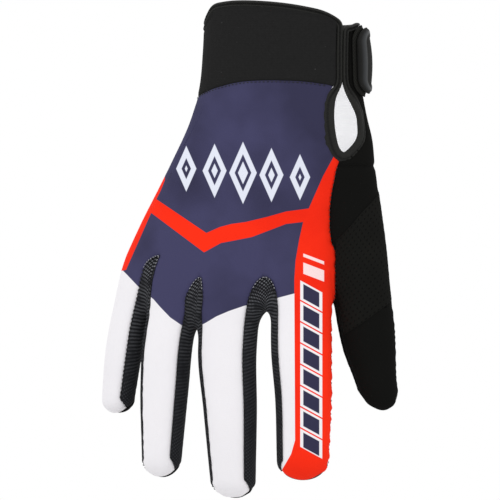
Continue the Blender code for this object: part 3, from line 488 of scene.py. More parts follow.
def web_angles(web, face):
    """Angles of the seams on the two fingers beside a web."""
    if face == "back":
        return FINGERS[web]["seams"][1], FINGERS[web + 1]["seams"][0]
    return FACE_ANGLES[face], -FACE_ANGLES[face]


def web_middle(web, face, z):
    """Line midway between two fingers; above the arch it fans to the wrist."""
    top = height_of(WEBS[web][face])
    right, left = web_angles(web, face)
    low = np.minimum(z, top)
    near = tube_point(FINGERS[web], low, right)
    far = tube_point(FINGERS[web + 1], low, left)
    middle = (near + far) / 2
    if face == "mid":
        return middle
    angle = top_angles(face)[web + 1]
    rise = np.clip((z - top) / (panel_top(face, angle) - top), 0.0, 1.0)
    if face == "back":
        middle = middle + np.array([WEBS[web]["lean"] * HAND_WIDTH, 0.0, 0.0])
    x = middle[..., 0] + (hand_point(z, angle)[..., 0] - middle[..., 0]) * rise
    return hand_face(x, z, -1 if face == "back" else 1)


def arch_spread(top, reach, z):
    """How far an arch has opened at a height, from 0 at its top to 1, as a quarter ellipse."""
    open_share = np.clip((top - z) / reach, 0.0, 1.0)
    return np.sqrt(np.maximum(0.0, 1 - (1 - open_share)**2))[..., None]


def web_edge(web, side, face, z):
    """Seam beside a web: the shared middle line above its arch, then the finger."""
    spread = arch_spread(height_of(WEBS[web][face]), ARCH_REACH[face] * GLOVE_LENGTH, z)
    finger = tube_point(FINGERS[web + side], z, web_angles(web, face)[side])
    return between(web_middle(web, face, z), finger, spread)


def index_side(z):
    """Seam line on the index finger's side."""
    return tube_point(FINGERS[3], z, FINGERS[3]["seams"][1])


def thumb_web_middle(z):
    """Line midway between the index finger's side and the thumb's inner side."""
    return (index_side(z) + thumb_line("inner", z)) / 2


def toward_thumb_web(hand, z, reach):
    """A seam of the hand that swings over to the thumb's web within a reach above it."""
    web = height_of(THUMB_WEB)
    near = ease(z, web + reach, web)[..., None]
    line = between(hand, thumb_web_middle(np.minimum(z, web)), near)
    line[..., 2] = z
    return line


def thumb_line(name, z):
    """Seam line of the bare thumb."""
    return tube_point(None, z, 90.0 + THUMB_SEAMS[name])


def arc_rate(z, degrees):
    """Metres round the section for each degree."""
    before, after = hand_point(z, degrees - 0.5), hand_point(z, degrees + 0.5)
    return np.linalg.norm(after - before, axis=-1)


def opening_route(count):
    """Angles and heights down the slit, round the keyhole and up the slit again."""
    steps = np.arange(len(KEYHOLE))
    table = [(step,) + row for step, row in zip(steps, KEYHOLE)]
    degrees, share = smooth_row(table, np.linspace(0, len(KEYHOLE) - 1, count))
    head = float(height_of(KEYHOLE_HEAD))
    left, right = SLIT_TOP
    down = np.linspace(float(cuff_edge(left)), head, 16)[:-1]
    up = np.linspace(head, float(cuff_edge(right)), 16)[1:]
    inward = np.linspace(left, KEYHOLE[0][0], 16)[:-1]
    outward_again = np.linspace(KEYHOLE[-1][0], right, 16)[1:]
    degrees = np.concatenate([inward, degrees, outward_again])
    height = np.concatenate([down, head - share * KEYHOLE_HEIGHT, up])
    return averaged(degrees, OPENING_ROUNDS), averaged(height, OPENING_ROUNDS)


def band_half(z):
    """Half of the binding's width: narrow along the slit, wide round the keyhole."""
    head = height_of(KEYHOLE_HEAD)
    wide = ease(z, head, head - 0.010)
    return (BINDING_WIDTH + (KEYHOLE_BAND - BINDING_WIDTH) * wide) / 2


def slit_edge(z, side):
    """Angle of the panels' edge beside the slit and the keyhole, clear of the binding."""
    degrees, height = opening_route(121)
    rate = arc_rate(height, degrees)
    along = np.stack([np.gradient(degrees) * rate, np.gradient(height)], axis=-1)
    along /= np.linalg.norm(along, axis=-1, keepdims=True)
    head = height_of(KEYHOLE_HEAD)
    clear = band_half(height) + SEAM_GAP + KEYHOLE_CLEAR * ease(height, head, head - 0.010)
    rim_degrees = degrees + along[:, 1] * clear / rate
    rim_height = height - along[:, 0] * clear
    half = int(np.argmin(rim_height))
    part = slice(0, half + 1) if side == "left" else slice(len(degrees) - 1, half - 1, -1)
    order = np.argsort(rim_height[part])
    angle = np.interp(z, rim_height[part][order], rim_degrees[part][order])
    return np.where(z < rim_height[half], THUMB_SIDE_SEAM[0][1], angle)


def back_thumb_edge(z):
    """The back panel's thumb side: keyhole, thumb's root, web, index finger."""
    bottom = height_of(KEYHOLE_HEAD) - KEYHOLE_HEIGHT
    side_angle = straight_row(THUMB_SIDE_SEAM, level_of(z))
    angle = np.where(z > bottom - KEYHOLE_BAND, np.minimum(slit_edge(z, "left"), side_angle), side_angle)
    web = height_of(THUMB_WEB)
    above = toward_thumb_web(hand_point(z, angle), z, 0.034)
    below = between(thumb_web_middle(z), index_side(z), arch_spread(web, THUMB_WEB_REACH * GLOVE_LENGTH, z))
    return np.where((z > web)[..., None], above, below)


def palm_thumb_edge(z):
    """The palm's thumb side below the thumb's start: round its base to the web."""
    above = toward_thumb_web(hand_point(z, straight_row(THUMB_BASE_SEAM, level_of(z))), z, 0.040)
    return np.where((z > height_of(THUMB_WEB))[..., None], above, back_thumb_edge(z))


def thumb_inner_edge(z, face):
    """The thumb panels' inner edge: the hand's seam above the web, then the thumb."""
    web = height_of(THUMB_WEB)
    above = back_thumb_edge(z) if face == "back" else palm_thumb_edge(z)
    spread = arch_spread(web, THUMB_WEB_REACH * GLOVE_LENGTH, z)
    below = between(thumb_web_middle(z), thumb_line("inner", z), spread)
    return np.where((z > web)[..., None], above, below)


def ulnar_edge(z):
    """Seam along the little finger's side of the hand."""
    hand = hand_point(z, np.full_like(z, ULNAR_SEAM))
    finger = tube_point(FINGERS[0], z, FINGERS[0]["seams"][0])
    share = ease(z, height_of(0.46), height_of(0.62))[..., None]
    return between(hand, finger, share)


def panel_edge(number, side, face, z):
    """Left (0) or right (1) edge of a finger's column on the back or the palm."""
    if side == 0 and number == 0:
        return ulnar_edge(z)
    if side == 1 and number == 3:
        return back_thumb_edge(z) if face == "back" else palm_thumb_edge(z)
    web = number - 1 if side == 0 else number
    return web_edge(web, 1 - side, face, z)


def column_angles(number, face):
    """Seam angles of a finger's column, on the finger and at its end."""
    finger = FINGERS[number]
    left, right = finger["seams"]
    if face == "palm":
        left = left if number == 0 else -FACE_ANGLES["palm"]
        right = right if number == 3 else FACE_ANGLES["palm"]
        left = left + 360.0
    return (left, right), finger["tip_seams"]


def column_middle(number, face, z, heights):
    """Middle line of a finger's column."""
    (left, right), _ = column_angles(number, face)
    finger = tube_point(FINGERS[number], z, (left + right) / 2)
    ends = [panel_edge(number, side, face, heights[side]) for side in (0, 1)]
    x = (ends[0][..., 0] + ends[1][..., 0]) / 2
    hand = hand_face(x, z, -1 if face == "back" else 1)
    share = ease(z, height_of(0.46), height_of(0.60))[..., None]
    return between(hand, finger, share)


def parabola(left, middle, right, share):
    """Points on the parabola through three points, at shares 0, 1/2 and 1."""
    return (left * (1 - share) * (1 - 2 * share) + middle * 4 * share * (1 - share)
            + right * share * (2 * share - 1))


def sheet(left, middle, right, cells, level=False):
    """Grid of points between two seams: a parabola through three curves, on the form."""
    share = np.linspace(0.0, 1.0, cells + 1)[None, :, None]
    grid = onto_form(parabola(left[:, None], middle[:, None], right[:, None], share), level)
    grid[:, 0], grid[:, -1] = left, right
    return grid


def arch_heights(top, reach, rows):
    """Heights that step evenly round an arch's opening."""
    turn = np.linspace(0.0, math.pi / 2, rows + 1)
    return top - reach * (1 - np.cos(turn))


def column_heights(number, side, face, start):
    """Row heights along one edge of a column: wrist, hand, arch and finger."""
    thumb = float(height_of(THUMB_START))
    shoulder, _ = cap_height(FINGERS[number])
    top, reach = height_of(THUMB_WEB), THUMB_WEB_REACH * GLOVE_LENGTH
    if side == 0 and number == 0:
        top, reach = height_of(WEBS[0]["back"]), ARCH_REACH["back"] * GLOVE_LENGTH
    elif not (side == 1 and number == 3):
        web = WEBS[number - 1 + side]
        top, reach = height_of(web[face]), ARCH_REACH[face] * GLOVE_LENGTH
    rows = [wrist_heights(start, thumb)]
    rows.append(np.linspace(thumb, top, HAND_ROWS + 1)[1:])
    rows.append(arch_heights(top, reach, ARCH_ROWS)[1:])
    rows.append(np.linspace(top - reach, shoulder, FINGER_ROWS + 1)[1:])
    return np.concatenate(rows)


def under_binding(degrees):
    """Height of the edge below the binding, lower at the slit's two corners."""
    left, right = SLIT_TOP
    away = np.maximum(left - np.asarray(degrees, float), np.asarray(degrees, float) - right)
    clear = EDGE_CLEAR + CORNER_CLEAR * ease(away, 22.0, 8.0)
    return cuff_edge(degrees) - BINDING_WIDTH / 2 - SEAM_GAP - clear


def panel_top(face, degrees):
    """Height of a panel's upper edge at an angle round the wrist."""
    if face == "back":
        return -smooth_row(CUFF_SEAM, degrees)[0] * CUFF_HEIGHT
    return under_binding(degrees)


def wrist_heights(start, end):
    """Row heights from a panel's upper edge to the thumb's root, close below the keyhole."""
    return start + (end - start) * np.sin(np.linspace(0.0, math.pi / 2, WRIST_ROWS + 1))


def cuff_edge(degrees):
    """Height of the binding's middle round the wrist."""
    return smooth_row(CUFF_EDGE, degrees)[0] * CUFF_RISE - BINDING_WIDTH / 2


def top_angles(face):
    """Angles round the wrist at which the panel's columns begin."""
    if face == "palm":
        return PALM_TOP_ANGLES
    corner = slit_edge(np.array(-CUFF_SEAM[-1][1] * CUFF_HEIGHT), "left")
    return BACK_TOP_ANGLES + (float(corner),)


def top_row(face, first, last, cells):
    """Points along a panel's upper edge between two angles."""
    degrees = np.linspace(first, last, cells + 1)
    return onto_form(hand_point(panel_top(face, degrees), degrees), True)


def column_grid(number, face):
    """One finger's column, from the panel's upper edge to the finger's end."""
    angles = top_angles(face)
    thumb = float(height_of(THUMB_START))
    edges, heights = [], []
    for side in (0, 1):
        z = column_heights(number, side, face, float(panel_top(face, angles[number + side])))
        edges.append(onto_form(panel_edge(number, side, face, z), z > thumb - 1e-6))
        heights.append(z)
    z = (heights[0] + heights[1]) / 2
    (left_angle, right_angle), (left_end, right_end) = column_angles(number, face)
    shares = np.linspace(0.0, 1.0, CAP_ROWS + 1)[1:]
    finger = FINGERS[number]
    left = np.concatenate([edges[0], onto_form(cap_point(finger, left_angle, left_end, shares))])
    end = cap_point(finger, (left_angle + right_angle) / 2, (left_end + right_end) / 2, shares)
    middle = np.concatenate([column_middle(number, face, z, heights), end])
    right = np.concatenate([edges[1], onto_form(cap_point(finger, right_angle, right_end, shares))])
    level = np.arange(len(left)) <= WRIST_ROWS
    grid = sheet(left, middle, right, COLUMN_CELLS, level[:, None])
    grid[0] = top_row(face, angles[number], angles[number + 1], COLUMN_CELLS)
    return grid


def web_curve(web, side, face):
    """One seam of a fourchette on one finger, from the finger's end up to the arch."""
    finger = FINGERS[web + side]
    shoulder, _ = cap_height(finger)
    top = float(height_of(WEBS[web][face]))
    reach = ARCH_REACH[face] * GLOVE_LENGTH
    angle = web_angles(web, face)[side]
    end = finger["tip_seams"][1 - side]
    shares = np.linspace(0.88, 0.0, CAP_ROWS + 1)
    z = np.concatenate([np.linspace(shoulder, top - reach, FINGER_ROWS + 1)[1:],
                        arch_heights(top, reach, ARCH_ROWS)[::-1][1:]])
    return np.concatenate([cap_point(finger, angle, end, shares), web_edge(web, side, face, z)])


def fourchette_grid(web):
    """Mesh side wall of two fingers: down one, round the web and up the other."""
    curves = []
    for face in ("back", "mid", "palm"):
        near = web_curve(web, 0, face)
        far = web_curve(web, 1, face)[::-1][1:]
        curves.append(np.concatenate([near, far]))
    return sheet(onto_form(curves[0]), curves[1], onto_form(curves[2]), WEB_CELLS)


def heel_grid():
    """Palm's column from the keyhole's palm side to the thumb's base seam."""
    thumb = float(height_of(THUMB_START))
    seam = THUMB_BASE_SEAM[0][1]
    near = wrist_heights(float(panel_top("palm", KEYHOLE[-1][0])), thumb)
    far = wrist_heights(float(panel_top("palm", seam)), thumb)
    left = onto_form(hand_point(near, slit_edge(near, "right")), True)
    right = onto_form(hand_point(far, np.full_like(far, seam)), True)
    z = (near + far) / 2
    fade = ease(z, thumb + 0.040, thumb)[:, None]
    middle = between(hand_point(z, (slit_edge(near, "right") + seam) / 2), thumb_line("ridge", z), fade)
    grid = sheet(left, middle, right, HEEL_CELLS, True)
    grid[0] = top_row("palm", float(slit_edge(near[0], "right")), seam, HEEL_CELLS)
    return grid


def thumb_grid(face):
    """Outer or inner half of the thumb, from its root to its end."""
    start, web = float(height_of(THUMB_START)), float(height_of(THUMB_WEB))
    shoulder, _ = cap_height(None)
    reach = THUMB_WEB_REACH * GLOVE_LENGTH
    z = np.concatenate([np.linspace(start, web, HAND_ROWS + 1), arch_heights(web, reach, ARCH_ROWS)[1:],
                        np.linspace(web - reach, shoulder, FINGER_ROWS + 1)[1:]])
    level = z > start - 1e-6
    inner = onto_form(thumb_inner_edge(z, face), level)
    ridge_angle = 90.0 + THUMB_SEAMS["ridge"]
    inner_angle = 90.0 + THUMB_SEAMS["inner"] + (0.0 if face == "back" else 360.0)
    ridge = onto_form(thumb_line("ridge", z), level)
    middle = tube_point(None, z, (ridge_angle + inner_angle) / 2)
    shares = np.linspace(0.0, 1.0, CAP_ROWS + 1)[1:]
    caps = [cap_point(None, inner_angle, -65.0, shares),
            cap_point(None, (ridge_angle + inner_angle) / 2, 0.0, shares),
            cap_point(None, ridge_angle, 65.0, shares)]
    inner = np.concatenate([inner, onto_form(caps[0])])
    middle = np.concatenate([middle, caps[1]])
    ridge = np.concatenate([ridge, onto_form(caps[2])])
    level = np.arange(len(inner)) == 0
    return sheet(inner, middle, ridge, THUMB_CELLS, level[:, None])


def patch_grid():
    """Reinforcement on the thumb, between two slanted seams."""
    inner_angle, ridge_angle = 90.0 + THUMB_SEAMS["inner"], 90.0 + THUMB_SEAMS["ridge"]
    share = np.linspace(PATCH_ACROSS[0], PATCH_ACROSS[1], PATCH_CELLS + 1)[None, :]
    top = height_of(PATCH_TOP[0] + (PATCH_TOP[1] - PATCH_TOP[0]) * share)
    bottom = height_of(PATCH_BOTTOM[0] + (PATCH_BOTTOM[1] - PATCH_BOTTOM[0]) * share)
    z = top + (bottom - top) * np.linspace(0, 1, PATCH_ROWS + 1)[:, None]
    inner, ridge = thumb_inner_edge(z, "back"), thumb_line("ridge", z)
    middle = tube_point(None, z, (ridge_angle + inner_angle) / 2)
    return onto_form(parabola(inner, middle, ridge, share[..., None]))


def cuff_grid():
    """Neoprene back of the wrist, from the binding to the hand's seam."""
    share = np.linspace(0.0, 1.0, CUFF_CELLS[0] + 1)
    depth = np.linspace(0.0, 1.0, CUFF_CELLS[1] + 1)[:, None]
    degrees = ULNAR_SEAM + (top_angles("back")[-1] - ULNAR_SEAM) * share
    top = under_binding(degrees)
    z = top + (panel_top("back", degrees) - SEAM_TUCK - top) * depth
    edge = slit_edge(z[:, -1], "left")[:, None]
    return onto_form(hand_point(z, ULNAR_SEAM + (edge - ULNAR_SEAM) * share), True)


def grid_faces(rows, columns):
    """Quads of a grid."""
    index = np.arange(rows * columns).reshape(rows, columns)
    return np.stack([index[:-1, :-1], index[1:, :-1], index[1:, 1:], index[:-1, 1:]], axis=-1).reshape(-1, 4)


def facing_out(points, faces):
    """The faces, turned to point out of the form."""
    corners = points[faces]
    normal = np.cross(corners[:, 2] - corners[:, 0], corners[:, 3] - corners[:, 1])
    turned = (normal * outward(corners.mean(axis=1))).sum() < 0
    return faces[:, ::-1] if turned else faces


def welded(points, faces):
    """Points within a hundredth of a millimetre made one, with the faces renumbered onto them."""
    cells = np.round(points / 1e-5).astype(int)
    _, first, index = np.unique(cells, axis=0, return_index=True, return_inverse=True)
    return points[first], index.reshape(-1)[faces]


def open_edges(faces):
    """Directed edges that have a face on one side only."""
    ends = np.concatenate([faces[:, [i, (i + 1) % 4]] for i in range(4)])
    ends = ends[ends[:, 0] != ends[:, 1]]
    there = {(a, b) for a, b in ends.tolist()}
    return np.array([(a, b) for a, b in ends.tolist() if (b, a) not in there])


def binding_route():
    """Angles and heights of the binding's middle: cuff's edge, slit, keyhole and back."""
    opening_degrees, opening_heights = opening_route(61)
    back = np.linspace(ULNAR_SEAM, SLIT_TOP[0], 41)[:-1]
    palm = np.linspace(SLIT_TOP[1], 360.0 + ULNAR_SEAM, 41)[1:-1]
    degrees = np.concatenate([back, opening_degrees, palm])
    height = np.concatenate([cuff_edge(back), opening_heights, cuff_edge(palm)])
    return degrees, height


def strap_grid(margin, cells):
    """Points of the strap on the form, inside its outline by a margin, and their place in it."""
    u = np.linspace(-1.0, 1.0, cells[0] + 1)[:, None]
    v = np.linspace(-1.0, 1.0, cells[1] + 1)[None, :]
    high, long = STRAP_WIDTH / 2 - margin, STRAP_LENGTH / 2 - margin
    corner = PLATE_CORNER
    flat_high, flat_long = high * u, long * v
    over_high = np.maximum(0.0, np.abs(flat_high) - (high - corner))
    reach = np.sqrt(np.maximum(0.0, corner**2 - np.minimum(over_high, corner)**2)) - corner
    along = flat_long * (1 + reach / long)
    z = STRAP_MIDDLE * CUFF_HEIGHT + flat_high * (1 - STRAP_TAPER * np.sin(math.pi / 4 * (v + 1)))
    rate = arc_rate(np.array([STRAP_MIDDLE * CUFF_HEIGHT]), np.array([STRAP_START + 25.0]))[0]
    degrees = STRAP_START + (along + long + margin) / rate
    return onto_form(hand_point(z, degrees)), u + 0 * v, v + 0 * u


def rim_distance(points, rim):
    """Distance of each point to the nearest rim point, and that point's height."""
    distance = np.empty(len(points))
    height = np.empty(len(points))
    for start in range(0, len(points), 2000):
        part = points[start:start + 2000]
        square = (part**2).sum(1)[:, None] + (rim**2).sum(1)[None] - 2 * part @ rim.T
        nearest = square.argmin(axis=1)
        distance[start:start + 2000] = np.sqrt(np.maximum(0.0, square[np.arange(len(part)), nearest]))
        height[start:start + 2000] = rim[nearest, 2]
    return distance, height


def seam_relief(points, rim, depth, pucker, pitch):
    """Lift that dips at the rim, exp(-(d/w)^2), and ripples along it as a sewn seam does."""
    distance, height = rim_distance(points, rim)
    dip = -depth * np.exp(-(distance / 0.0011)**2)
    phase = 2 * math.pi * height / pitch + 2.3 * np.sin(height * 310.0)
    ripple = pucker * np.sin(phase) * np.exp(-(distance / 0.0028)**2) * np.minimum(1.0, distance / 0.0008)
    return dip + ripple


def crease(points, start, end, width, depth):
    """Soft valley along a straight line between two points: depth * exp(-(d/width)^2)."""
    start, end = np.array(start), np.array(end)
    along = np.clip((points - start) @ (end - start) / ((end - start) @ (end - start)), 0.0, 1.0)
    nearest = start + along[:, None] * (end - start)
    distance = np.linalg.norm(points - nearest, axis=1)
    fade = np.sin(math.pi * np.clip(along, 0.04, 0.96))
    return -depth * fade * np.exp(-(distance / width)**2)


def grid_places(grid):
    """Places of a grid's points across and along it, as arc lengths in metres."""
    across = np.linalg.norm(np.diff(grid, axis=1), axis=2)
    across = np.concatenate([np.zeros((len(grid), 1)), np.cumsum(across, axis=1)], axis=1)
    along = np.linalg.norm(np.diff(grid, axis=0), axis=2)
    along = np.concatenate([np.zeros((1, grid.shape[1])), np.cumsum(along, axis=0)], axis=0)
    middle = across[:, -1:] / 2
    return np.stack([across - middle, along.mean(axis=1, keepdims=True) + 0 * across], axis=-1)


def softened(grid):
    """The grid with its inner points averaged along the columns, so that no row shows as a crease."""
    averaged(grid[:, 1:-1], SOFTENING_ROUNDS)
    return grid


def slab(faces, places, rim, total):
    """Faces of a closed wall and their map: outer skin, inner skin and the rim between them."""
    sides = np.stack([rim[:, 1], rim[:, 0], rim[:, 0] + total, rim[:, 1] + total], axis=1)
    every_face = np.concatenate([faces, faces[:, ::-1] + total, sides])
    return every_face, np.concatenate([places, places[:, ::-1], np.zeros((len(sides), 4, 2))])


def make_object(name, points, faces, places=None, materials=(), inner=None):
    """Mesh object from arrays, with a UV map in metres and a second material on inner faces."""
    mesh = bpy.data.meshes.new(name)
    collapsed = (faces[:, 3] == faces[:, 0]) | (faces[:, 2] == faces[:, 3])
    middle = (faces[:, 0] == faces[:, 1]) | (faces[:, 1] == faces[:, 2])
    whole = ~(collapsed | middle)
    short_end, short_start = collapsed & ~middle, middle & ~collapsed
    quads = faces[whole]
    triangles = np.concatenate([faces[short_end][:, :3], faces[short_start][:, [0, 2, 3]]])
    sizes = np.concatenate([np.full(len(quads), 4), np.full(len(triangles), 3)])
    corners = np.concatenate([quads.reshape(-1), triangles.reshape(-1)])
    mesh.vertices.add(len(points))
    mesh.vertices.foreach_set("co", points.astype(np.float32).reshape(-1))
    mesh.loops.add(len(corners))
    mesh.loops.foreach_set("vertex_index", corners.astype(np.int32))
    mesh.polygons.add(len(sizes))
    mesh.polygons.foreach_set("loop_start", (np.cumsum(sizes) - sizes).astype(np.int32))
    if places is not None:
        wanted = [places[whole].reshape(-1, 2), places[short_end][:, :3].reshape(-1, 2),
                  places[short_start][:, [0, 2, 3]].reshape(-1, 2)]
        layer = mesh.uv_layers.new(name="cloth")
        layer.data.foreach_set("uv", np.concatenate(wanted).astype(np.float32).reshape(-1))
    for material in materials:
        mesh.materials.append(material)
    if inner is not None:
        kinds = np.concatenate([inner[whole], inner[short_end], inner[short_start]])
        mesh.polygons.foreach_set("material_index", kinds.astype(np.int32))
    mesh.update(calc_edges=True)
    mesh.validate()
    mesh.shade_smooth()
    piece = bpy.data.objects.new(name, mesh)
    bpy.context.scene.collection.objects.link(piece)
    return piece


def cloth_piece(name, grids, wall, materials, relief, node, lift=0.0):
    """Closed cloth panel: grids on the form, relief along the normal, an inner skin and a rim."""
    points, faces, places = [], [], []
    count = 0
    for grid in grids:
        rows, columns = grid.shape[:2]
        flat = grid.reshape(-1, 3)
        place = grid_places(grid).reshape(-1, 2)
        turned = facing_out(flat, grid_faces(rows, columns))
        places.append(place[turned])
        faces.append(turned + count)
        points.append(flat)
        count += len(flat)
    places = np.concatenate(places)
    points, faces = welded(np.concatenate(points), np.concatenate(faces))
    rim = open_edges(faces)
    out = outward(points)
    height = relief(points, points[np.unique(rim)]) + lift
    outer = points + out * height[:, None]
    under = points + out * (np.minimum(height, lift) - wall)[:, None]
    every_face, every_place = slab(faces, places, rim, len(points))
    inner = np.zeros(len(every_face))
    inner[len(faces):2 * len(faces)] = len(materials) - 1
    piece = make_object(name, np.concatenate([outer, under]), every_face, every_place, materials, inner)
    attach(piece, "root")
    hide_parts(node)


class Value:
    """A number in the shader, which adds Math nodes as expressions use it."""

    def __init__(self, paint, socket):
        self.paint = paint
        self.socket = socket

    def math(self, operation, *others):
        """Math node on this value and others."""
        return self.paint.node("ShaderNodeMath", {"operation": operation}, (self,) + others)

    def __add__(self, other):
        return self.math("ADD", other)

    __radd__ = __add__

    def __mul__(self, other):
        return self.math("MULTIPLY", other)

    __rmul__ = __mul__

    def __sub__(self, other):
        return self.math("SUBTRACT", other)

    def __rsub__(self, other):
        return self.paint.node("ShaderNodeMath", {"operation": "SUBTRACT"}, (other, self))

    def __truediv__(self, other):
        return self.math("DIVIDE", other)

    def __neg__(self):
        return self * -1.0

    def __abs__(self):
        return self.math("ABSOLUTE")

    def __and__(self, other):
        return self.math("MINIMUM", other)

    def __or__(self, other):
        return self.math("MAXIMUM", other)

    def wave(self, rate):
        """Sine of this value times a rate, from 0 to 1."""
        return (self * rate).math("SINE") * 0.5 + 0.5

    def off_middle(self):
        """Distance from the middle of the whole number's cell that this value lies in."""
        return abs(self - self.math("FLOOR") - 0.5)

    def below(self, other, soft=0.22):
        """One where this value is under the other, with a soft edge."""
        edge = (other - self) / soft + 0.5
        return edge.math("MINIMUM", 1.0).math("MAXIMUM", 0.0)

    def above(self, other, soft=0.22):
        """One where this value is over the other."""
        return 1.0 - self.below(other, soft)

    def between(self, low, high, soft=0.22):
        """One between two values."""
        return self.above(low, soft) & self.below(high, soft)


class Paint:
    """One procedural material: its nodes and the Principled BSDF they feed."""

    def __init__(self, name):
        self.material = bpy.data.materials.new(name)
        self.material.use_nodes = True
        self.tree = self.material.node_tree
        self.shader = self.tree.nodes["Principled BSDF"]

    def node(self, kind, settings=None, inputs=(), output=0):
        """Any node: its settings first, then the values or links of its sockets."""
        made = self.tree.nodes.new(kind)
        for key, value in (settings or {}).items():
            if key == "stops":
                self.set_stops(made.color_ramp, value)
            else:
                setattr(made, key, value)
        pairs = inputs.items() if isinstance(inputs, dict) else enumerate(inputs)
        for key, value in pairs:
            self.put(made.inputs[key], value)
        return Value(self, made.outputs[output])

    def put(self, socket, value):
        """Link or set one socket."""
        if isinstance(value, Value):
            self.tree.links.new(value.socket, socket)
        elif socket.type == "RGBA" and len(value) == 3:
            socket.default_value = tuple(value) + (1.0,)
        else:
            socket.default_value = value

    def set_stops(self, ramp, stops):
        """Stops of a ramp: place and grey value, joined by straight lines."""
        while len(ramp.elements) < len(stops):
            ramp.elements.new(0.5)
        for element, (place, _) in zip(ramp.elements, stops):
            element.position = place
        for element, (_, grey) in zip(ramp.elements, stops):
            element.color = (grey, grey, grey, 1.0)

    def curve(self, value, table):
        """Piecewise straight function of a value, through a table's points."""
        xs, ys = zip(*table)
        low, span = xs[0], xs[-1] - xs[0]
        floor, rise = min(ys), max(ys) - min(ys)
        stops = [((x - low) / span, (y - floor) / rise) for x, y in table]
        ramp = self.node("ShaderNodeValToRGB", {"stops": stops}, ((value - low) / span,))
        return ramp * rise + floor

    def coordinates(self, kind="Object"):
        """Object or UV coordinates, in metres."""
        return self.node("ShaderNodeTexCoord", output={"Object": 3, "UV": 2}[kind])

    def places(self, kind="Object"):
        """Coordinates as three values, in millimetres."""
        split = self.node("ShaderNodeSeparateXYZ", None, (self.coordinates(kind),))
        outs = split.socket.node.outputs
        return [Value(self, outs[axis]) * 1000.0 for axis in range(3)]

    def across_print(self):
        """Place across the print, seen square on, in millimetres."""
        x, y, _ = self.places()
        return x * math.cos(PRINT_TURN) + y * math.sin(PRINT_TURN)

    def noise(self, scale, detail=2.0, roughness=0.5):
        """Noise on Object coordinates, from 0 to 1."""
        inputs = {"Vector": self.coordinates(), "Scale": scale, "Detail": detail, "Roughness": roughness}
        return self.node("ShaderNodeTexNoise", None, inputs)

    def cells(self, scale):
        """Distance to the nearest cell of a Voronoi pattern."""
        return self.node("ShaderNodeTexVoronoi", None, {"Vector": self.coordinates(), "Scale": scale})

    def attribute(self, name):
        """A mesh attribute's value."""
        return self.node("ShaderNodeAttribute", {"attribute_name": name}, output=2)

    def mix(self, share, first, second):
        """Colour between two colours."""
        return self.node("ShaderNodeMix", {"data_type": "RGBA"}, {0: share, 6: first, 7: second}, 2)

    def finish(self, colour, roughness, height=None, strength=0.3, depth=0.0002, **others):
        """Feed the shader: colour, roughness and a bump from a height."""
        self.put(self.shader.inputs["Base Color"], colour)
        self.put(self.shader.inputs["Roughness"], roughness)
        if height is not None:
            settings = {"Height": height, "Strength": strength, "Distance": depth}
            bump = self.node("ShaderNodeBump", None, settings)
            self.put(self.shader.inputs["Normal"], bump)
        for key, value in others.items():
            self.put(self.shader.inputs[key.replace("_", " ")], value)
        return self.material


def srgb(red, green, blue):
    """Linear colour from 8-bit display values."""
    return tuple(((v / 255 + 0.055) / 1.055)**2.4 if v > 10 else v / 255 / 12.92 for v in (red, green, blue))


# Painted glow: light that the lining gives off of its own, so that the glove's inside looks bright through
# the keyhole.
LINING_PAINTED_GLOW = 0.28
# The print, in millimetres across and down from the wrist opening, seen square on.
PRINT_TURN = math.radians(22.0)
CHEVRON_TOP = ((-72.0, 89.2), (-64.0, 94.5), (-40.3, 110.5), (-33.5, 107.5), (-27.8, 106.0), (-20.5, 105.0),
               (-10.0, 102.5), (-0.5, 99.8), (10.8, 98.3), (30.0, 97.0))
CHEVRON_FOOT = ((-72.0, 97.8), (-67.2, 101.0), (-41.5, 120.2), (-33.0, 115.5), (-25.0, 114.0), (-17.5, 112.5),
                (-0.5, 106.0), (8.0, 105.0), (30.0, 104.0))
SIDE_EDGE = ((60.0, 28.0), (71.0, 24.0), (82.0, 18.0), (98.3, 10.8), (105.0, 8.0), (114.0, 6.0), (124.5, 4.2),
             (134.0, 3.6), (214.0, 4.0), (221.0, 2.0), (228.0, -2.0), (236.0, -6.5))
ULNAR_EDGE = ((70.0, -61.2), (84.0, -61.2), (89.0, -63.2), (94.0, -65.7), (96.5, -66.4), (129.0, -80.8),
              (131.0, -90.0))
TIP_EDGE = ((-90.0, 122.0), (-80.6, 131.1), (-74.0, 138.0), (-66.9, 143.7), (-63.8, 147.3), (-58.5, 152.8),
            (-52.8, 156.7), (-46.0, 158.2), (-40.6, 155.4), (-35.3, 152.2), (-29.0, 149.5), (-21.7, 147.0),
            (-8.0, 143.8), (2.5, 141.0), (30.0, 134.0))


